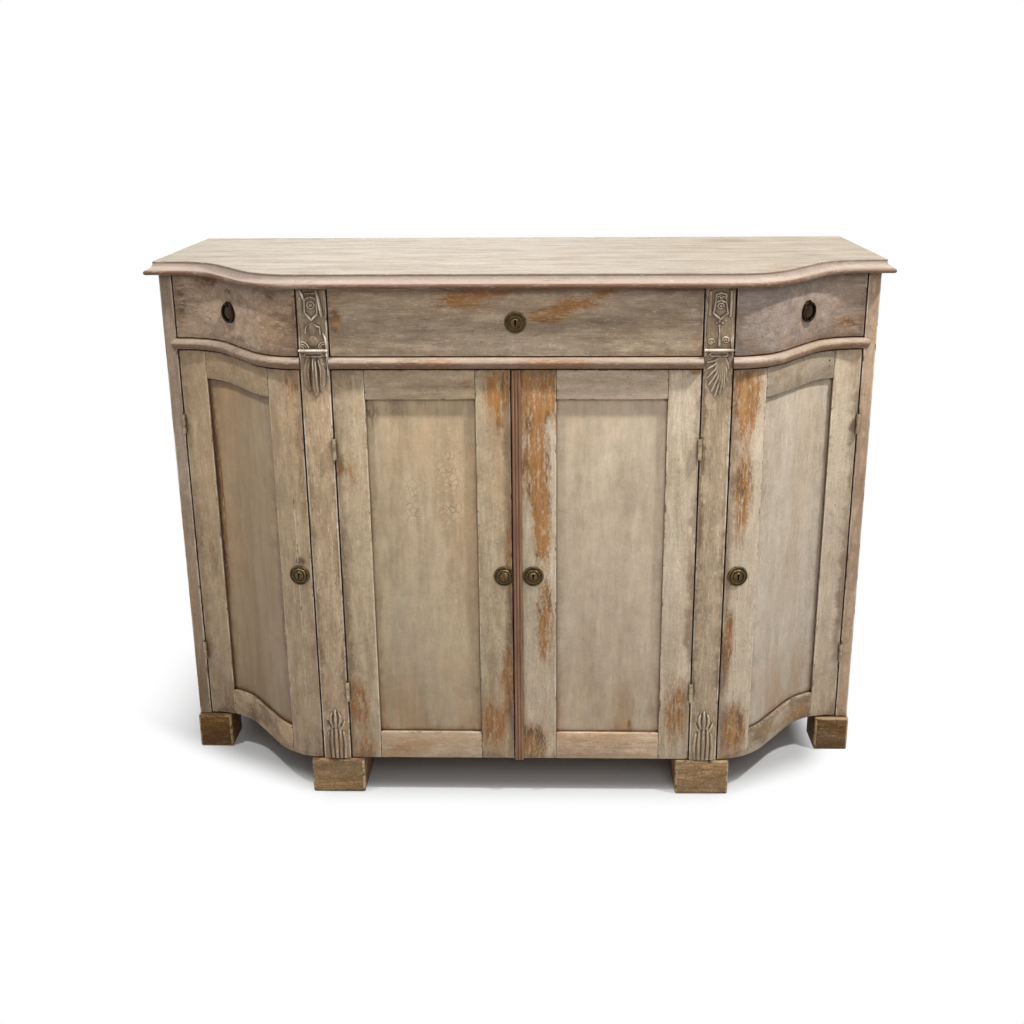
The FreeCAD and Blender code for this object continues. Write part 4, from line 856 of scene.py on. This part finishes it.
# painted highlights on the ridges that catch the light, placed like the carving here: mm across from the
# middle and up from the floor
carvingLooks = {
    "left": {
        "seed": 22.0, "deep": (110, 88, 63), "mid": (148, 126, 97), "pale": (174, 152, 122),
        "paintedHighlights": ((14.5, 948, 6, 28, 2.0), (-14, 964, 6, 12, 1.6), (0, 927, 14, 9, 1.6),
                   (0, 868.5, 32, 5, 2.0), (23, 845, 4, 34, 2.0), (10, 909, 7, 6, 1.2),
                   (21, 888, 4, 14, 1.6))},
    "right": {
        "seed": 23.0, "deep": (118, 96, 71), "mid": (154, 133, 105), "pale": (180, 160, 131),
        "paintedHighlights": ((-7, 928, 8, 7, 1.6), (0, 868.5, 32, 5, 1.8), (10.5, 891, 7, 5, 1.5),
                   (4, 952, 6, 5, 1.6), (17, 945, 5, 24, 0.8), (-22, 868, 4, 8, 1.2))},
}
voluteShape = {"steps": 16, "start": 100, "turn": 36, "shrink": 0.78, "wire": 1.35, "thin": 0.5}
relief = {"sunk": 0.6, "voxel": 0.65, "smooth": 0.5, "passes": 3}


def carving(side):
    low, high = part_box(side + "_pilaster")
    middle = (low.x + high.x) / 2
    stamps = []

    def spot(across, out, up):
        return Vector((middle + across * mm, low.y - out * mm, up * mm))

    def stamp(source, turn, size, taper=(1, 1)):
        mesh = source.copy()
        for vertex in mesh.vertices:
            share = taper[0] if vertex.co.z < 0 else taper[1]
            vertex.co.x *= share
            vertex.co.y *= share
        mesh.transform(turn @ Matrix.Diagonal((*size, 1)))
        stamps.append(bpy.data.objects.new(side + "_stamp", mesh))

    def ball(across, out, up, wide, deep, tall):
        stamp(roundMesh, Matrix.Translation(spot(across, out, up)), inMetres((wide, deep, tall)))

    def slab(left, right, out, foot, head):
        sunk = relief["sunk"]
        heart = spot((left + right) / 2, (out - sunk) / 2, (foot + head) / 2)
        stamp(blockMesh, Matrix.Translation(heart), inMetres((right - left, out + sunk, head - foot)))

    def stem(points, radii, out, deep):
        # a tapering round bar through (across, up) points, lying at height out
        for (across, up), radius in zip(points, radii):
            ball(across, out, up, radius, radius * deep, radius)
        for index in range(len(points) - 1):
            start = spot(points[index][0], out, points[index][1])
            end = spot(points[index + 1][0], out, points[index + 1][1])
            way = (end - start).normalized()
            depth = Vector((0, 1, 0))
            turn = turnTo(depth.cross(way), depth, way)
            size = (mm, deep * mm, (end - start).length)
            stamp(rodMesh, Matrix.Translation((start + end) / 2) @ turn, size, radii[index:index + 2])

    def twin(points, radii, out, deep):
        stem(points, radii, out, deep)
        stem([(-across, up) for across, up in points], radii, out, deep)

    def volute(across, up, hand, size, out):
        points, radii = [], []
        for step in range(voluteShape["steps"] + 1):
            share = step / voluteShape["steps"]
            angle = math.radians(90 + hand * (voluteShape["start"] - step * voluteShape["turn"]))
            reach = size * (1 - voluteShape["shrink"] * share)
            points.append((across + reach * math.cos(angle), up + reach * math.sin(angle)))
            radii.append(voluteShape["wire"] - voluteShape["thin"] * share)
        stem(points, radii, out, 1.3)
        ball(across, out, up, 1.6, 2.2, 1.6)

    def arc(across, up, reach, start, stop, radius, out):
        turns = [math.radians(start + (stop - start) * step / 8) for step in range(9)]
        points = [(across + reach * math.cos(turn), up + reach * math.sin(turn)) for turn in turns]
        stem(points, [radius] * len(points), out, 1.2)

    # capital: ground, upper block with a scalloped foot
    slab(-22, 22, 1.4, 867, 972)
    slab(-23, 23, 2.6, 931, 974)
    for across in (-15, 0, 15):
        ball(across, 0, 930, 8.4, 3.0, 5.0)
    if side == "left":
        # six-sided frame round a boss, a strap on each side
        slab(-9.5, 9.5, 3.4, 935, 958)
        ball(0, 1.0, 932, 9.5, 2.6, 9)
        stem([(-10.4, 955), (-10.6, 934), (0, 922), (10.2, 932), (10.6, 955), (6.5, 959), (0, 961),
              (-6.5, 959), (-10.4, 955)], [1.7, 2.0, 2.4, 1.9, 1.6, 1.6, 1.7, 1.7, 1.7], 4.0, 1.5)
        stem([(-8.5, 967), (8.0, 967)], [1.6, 1.6], 3.4, 1.4)
        arc(0, 947, 6.4, 0, 360, 1.5, 3.6)
        ball(0, 3.2, 947, 3.4, 3.0, 3.4)
        ball(0, 5.6, 947, 1.3, 1.6, 1.3)
        stem([(-17, 972), (-13.4, 964), (-11.4, 957)], [2.0, 2.4, 1.8], 4.0, 1.5)
        stem([(10, 972), (13, 958), (15.6, 941), (17.8, 928)], [2.4, 3.1, 3.3, 2.4], 3.8, 1.4)
        stem([(-18, 958), (-18, 938)], [3.0, 3.4], 1.4, 1.0)
        # soft vase, scroll lines and shells
        ball(0, 0.6, 906, 7.2, 3.2, 13)
        ball(0, 0.6, 884, 9.5, 3.2, 11)
        stem([(4.5, 913), (8.5, 910), (12.5, 909), (13.2, 896)], [1.3, 1.6, 1.5, 1.2], 2.0, 1.4)
        stem([(-6, 914), (-11, 908), (-12.5, 898)], [1.2, 1.5, 1.2], 1.8, 1.3)
        stem([(18, 898), (21.6, 889), (22.4, 872)], [1.4, 1.9, 1.9], 2.4, 1.3)
        for reach in (5, 9, 13):
            arc(-21, 870, reach, 5, 85, 1.4, 1.8)
        for reach in (5, 8.5):
            arc(18, 874, reach, 60, 250, 1.2, 1.8)
    else:
        # bell frame with a small boss, loops above it, wide straps
        slab(-8.5, 8.5, 3.4, 933, 963)
        ball(0, 1.0, 931, 10.5, 2.6, 8)
        stem([(-8.6, 964), (-9.0, 950), (-12, 932), (0, 922), (12, 932), (9.0, 950), (8.6, 964), (0, 966.5),
              (-8.6, 964)], [1.6, 1.6, 2.0, 2.2, 2.0, 1.6, 1.6, 1.7, 1.6], 3.8, 1.5)
        for across in (-4, 4):
            arc(across, 957, 3.2, 0, 180, 1.2, 4.0)
        arc(0, 944, 5.2, 0, 360, 1.4, 3.6)
        ball(0, 3.4, 944, 2.6, 3.2, 2.6)
        stem([(-6.4, 951), (0, 954), (6.4, 951)], [1.3, 1.5, 1.5], 4.0, 1.4)
        stem([(16.8, 969), (17.4, 950), (16.6, 928)], [2.6, 3.3, 2.6], 2.8, 1.3)
        stem([(-17.2, 968), (-17.4, 930)], [2.8, 3.2], 1.8, 1.0)
        # flower on a stem, a volute on each side
        for across, up in ((-6, 915), (-1, 910), (4, 915), (-1, 918)):
            ball(across, 1.8, up, 2.6, 2.4, 2.6)
        stem([(-1, 908), (0, 892), (0, 876)], [1.5, 1.7, 2.4], 1.8, 1.3)
        volute(11.0, 885, 1, 6.6, 2.0)
        volute(-14.0, 882, -1, 6.0, 1.8)
        stem([(20, 884), (21.5, 872)], [1.4, 1.8], 2.2, 1.3)
    # ledge and framed roll
    slab(-23.2, 23.2, 7.6, 865.5, 868.5)
    stem([(-23.2, 868.6), (23.0, 868.6)], [2.5, 2.5], 7.2, 1.1)
    stem([(-22.4, 868), (-22.6, 859)], [1.8, 1.8], 4.6, 1.2)
    stem([(22.2, 868), (22.4, 859)], [1.8, 1.8], 4.6, 1.2)
    slab(-20, 20, 4.2, 857, 866)
    roll = [(-13, 864), (13, 864), (16, 861), (13, 858), (-13, 858), (-16, 861), (-13, 864)]
    stem(roll, [1.4] * len(roll), 4.8, 1.3)
    # leaf drop: a three-lobed husk on the left, a leaning acanthus on the right
    slab(-20, 20, 2.2, 836, 858)
    if side == "left":
        stem([(22.4, 866), (22.8, 846), (22.6, 824)], [1.8, 1.7, 1.2], 2.0, 1.2)
        ball(13, 2.6, 851, 4.4, 3.2, 4.6)
        twin([(10.5, 852), (14.2, 832), (13.6, 813), (10.5, 799)], [5.6, 6.4, 6.2, 4.6], 0.8, 0.75)
        twin([(11.5, 853), (17.4, 832), (14.6, 806)], [1.3, 2.0, 1.4], 4.0, 1.2)
        twin([(7.6, 852), (11.0, 832), (9.6, 808)], [1.2, 1.7, 1.2], 4.6, 1.2)
        stem([(0, 852), (0, 826), (0, 803), (0, 791)], [5.0, 6.6, 7.0, 5.0], 1.0, 0.75)
        stem([(-1.5, 854), (-2.4, 828), (-2.0, 798)], [1.2, 1.7, 1.3], 5.4, 1.2)
        stem([(2.6, 850), (3.0, 824), (3.4, 800)], [1.2, 1.7, 1.3], 5.4, 1.2)
    else:
        crown = 857
        ball(-1, 0.2, 822, 18.5, 3.6, 37)
        for across, up in ((-19, 846), (-19.5, 834), (-18, 820), (-15, 807), (-10, 796), (-4, 787), (4, 790),
                           (10, 801), (15, 816), (18, 836)):
            start = (7 + across * 0.2, crown)
            bend = (start[0] * 0.75 + across * 0.4, up + (crown - up) * 0.4)
            stem([start, bend, (across, up)], [1.6, 2.7, 1.6], 2.4, 1.25)
    # base leaf: a fluted fan below, a small leaf above
    ball(0, 0.0, 106, 20, 2.6, 36)
    for across, foot, head, radius in ((0, 77, 146, 4.0), (8.4, 77, 140, 3.9), (16.4, 77, 129, 3.6)):
        lean = 0.86 if across else 1.0
        twin([(across * 0.96, foot), (across * 1.04, (foot + head) / 2), (across * lean, head)],
             [radius * 0.9, radius, radius * 0.6], 1.4, 1.1)
    ball(0, 0.2, 148, 11, 2.8, 19)
    stem([(0, 142), (0, 158), (0, 177)], [3.0, 3.6, 1.4], 2.6, 1.1)
    twin([(5.5, 142), (8.6, 153), (8.6, 163), (6.4, 170)], [2.6, 3.2, 2.6, 1.3], 1.9, 1.1)
    twin([(10, 137), (14.0, 144), (16.4, 152)], [2.4, 2.6, 1.4], 1.6, 1.1)
    unpick()
    for item in stamps:
        scene.collection.objects.link(item)
        item.select_set(True)
    piece = stamps[0]
    bpy.context.view_layer.objects.active = piece
    bpy.ops.object.join()
    piece.name = side + "_carving_relief"
    shape(piece, "REMESH", mode="VOXEL", voxel_size=relief["voxel"] * mm)
    shape(piece, "SMOOTH", factor=relief["smooth"], iterations=relief["passes"])
    low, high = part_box(side + "_carving")
    paintedHighlights = []
    for across, up, *rest in carvingLooks[side]["paintedHighlights"]:
        aside = (middle + across * mm - low.x) / (high.x - low.x)
        paintedHighlights.append((aside, (up * mm - low.z) / (high.z - low.z), *rest))
    look = {**carvingLooks[side], **carvingPaint, "paintedHighlights": paintedHighlights}
    place(piece, side + "_carving", wornPaint(side + "_carving_paint", look, (low, high)), angle=180)


carving("left")
carving("right")
print("carvings done")


# floor, light and camera
def seenRay(tree):
    # one for rays that show a thing, straight or mirrored, nothing for rays that gather light
    rays = addNode(tree, "LightPath")
    seen = rays["Is Camera Ray"]
    for kind in ("Is Glossy Ray", "Is Transmission Ray"):
        seen = addNode(tree, "Math", {0: seen, 1: rays[kind]}, operation="MAXIMUM")[0]
    return seen


# the floor's own shade shows as far as left, right, front and back, in m, then it is seen as white
# past bend the front limit runs back by slope; slow draws out the fade on the left and at the back
floorLook = {
    "size": 40, "pale": (186, 186, 186), "rough": 0.9, "left": 0.56, "right": 0.55, "front": 0.19,
    "back": 0.25, "bend": 0.36, "slope": 0.5, "slow": 0.3, "fade": 0.09,
}
unpick()
bpy.ops.mesh.primitive_plane_add(size=floorLook["size"], location=(0, 0, 0))
floor = bpy.context.object
floor.name = "floor"
brush = Brush("pale_floor")


def beyond(value, side, share=1.0):
    # how far a value lies past a side's limit, nothing before it
    return brush.times(brush.math("MAXIMUM", brush.minus(value, floorLook[side]), 0.0), share)


ways = addNode(brush.tree, "SeparateXYZ", {0: brush.place})
toRight, toBack = ways[0], ways[1]
toLeft = brush.times(toRight, -1.0)
recess = beyond(brush.math("ABSOLUTE", toRight), "bend", floorLook["slope"])
toFront = brush.minus(recess, toBack)
offSide = brush.plus(beyond(toLeft, "left", floorLook["slow"]), beyond(toRight, "right"))
offFront = brush.plus(beyond(toFront, "front"), beyond(toBack, "back", floorLook["slow"]))
offset = addNode(brush.tree, "CombineXYZ", {0: offSide, 1: offFront})[0]
away = addNode(brush.tree, "VectorMath", {0: offset}, operation="LENGTH")["Value"]
white = brush.times(seenRay(brush.tree), brush.fade(away, 0.0, floorLook["fade"]))
brush.shader.inputs["Base Color"].default_value = tone(*floorLook["pale"])
brush.shader.inputs["Roughness"].default_value = floorLook["rough"]
glow = addNode(brush.tree, "Emission", {"Color": (1, 1, 1, 1), "Strength": 1.0})
blend = addNode(brush.tree, "MixShader", {0: white, 1: brush.shader.outputs[0], 2: glow[0]})
brush.tree.links.new(blend[0], brush.tree.nodes["Material Output"].inputs["Surface"])
floor.data.materials.append(brush.material)

# the sky is seen as white, and lights the room softly from above
skyLook = {"low": 0.08, "high": 0.27, "lift": 0.6}
world = bpy.data.worlds.new("studio")
scene.world = world
world.use_nodes = True
tree = world.node_tree
around = addNode(tree, "TexCoord")["Generated"]
lift = addNode(tree, "SeparateXYZ", {0: around})[2]
sky = addNode(tree, "MapRange",
              {0: lift, 1: 0.0, 2: skyLook["lift"], 3: skyLook["low"], 4: skyLook["high"]})[0]
strength = addNode(tree, "MapRange", {0: seenRay(tree), 1: 0.0, 2: 1.0, 3: sky, 4: 1.0})[0]
tree.links.new(strength, tree.nodes["Background"].inputs["Strength"])
tree.nodes["Background"].inputs["Color"].default_value = (1, 1, 1, 1)

lamps = {
    "left_key": {"spot": (-1.7, -0.92, 4.3), "aim": (-0.1, -0.1, 0.6), "size": 0.22, "power": 95},
    "right_key": {"spot": (2.2, -0.87, 3.9), "aim": (0.1, -0.1, 0.6), "size": 0.25, "power": 148},
    "front_fill": {"spot": (0.7, -3.2, 3.0), "aim": (0.0, -0.1, 0.5), "size": 2.4, "power": 43},
    "back_fill": {"spot": (-0.6, 3.2, 2.0), "aim": (0.0, 0.2, 0.5), "size": 2.4, "power": 22},
}
for name, lamp in lamps.items():
    light = bpy.data.lights.new(name, "AREA")
    light.shape = "DISK"
    light.size = lamp["size"]
    light.energy = lamp["power"]
    item = addObject(name, light)
    item.location = lamp["spot"]
    way = Vector(lamp["aim"]) - Vector(lamp["spot"])
    item.rotation_euler = way.to_track_quat("-Z", "Y").to_euler()

# the camera fitted to the photograph: lengths in pixels, spot in m, angles in degrees
view = {
    "focal": 1088.872, "spot": (0.06359, -2.04004, 1.28336), "pitch": 15.331, "yaw": -1.193, "roll": 0.346,
    "centre": (530.953, 395.802), "pixels": 1024, "sensor": 36,
}
pitch, yaw, roll = (math.radians(view[key]) for key in ("pitch", "yaw", "roll"))
ahead = Vector((math.sin(yaw) * math.cos(pitch), math.cos(yaw) * math.cos(pitch), -math.sin(pitch)))
right = ahead.cross(Vector((0, 0, 1))).normalized()
down = ahead.cross(right)
tilted = math.cos(roll) * right + math.sin(roll) * down
plumb = -math.sin(roll) * right + math.cos(roll) * down
lens = bpy.data.cameras.new("photo_view")
lens.sensor_width = view["sensor"]
lens.lens = view["focal"] / view["pixels"] * view["sensor"]
lens.shift_x = (view["pixels"] / 2 - view["centre"][0]) / view["pixels"]
lens.shift_y = (view["centre"][1] - view["pixels"] / 2) / view["pixels"]
camera = addObject("photo_view", lens)
camera.matrix_world = Matrix.Translation(view["spot"]) @ turnTo(tilted, -plumb, -ahead)
scene.camera = camera
scene.view_settings.view_transform = "Standard"
print("stage done")
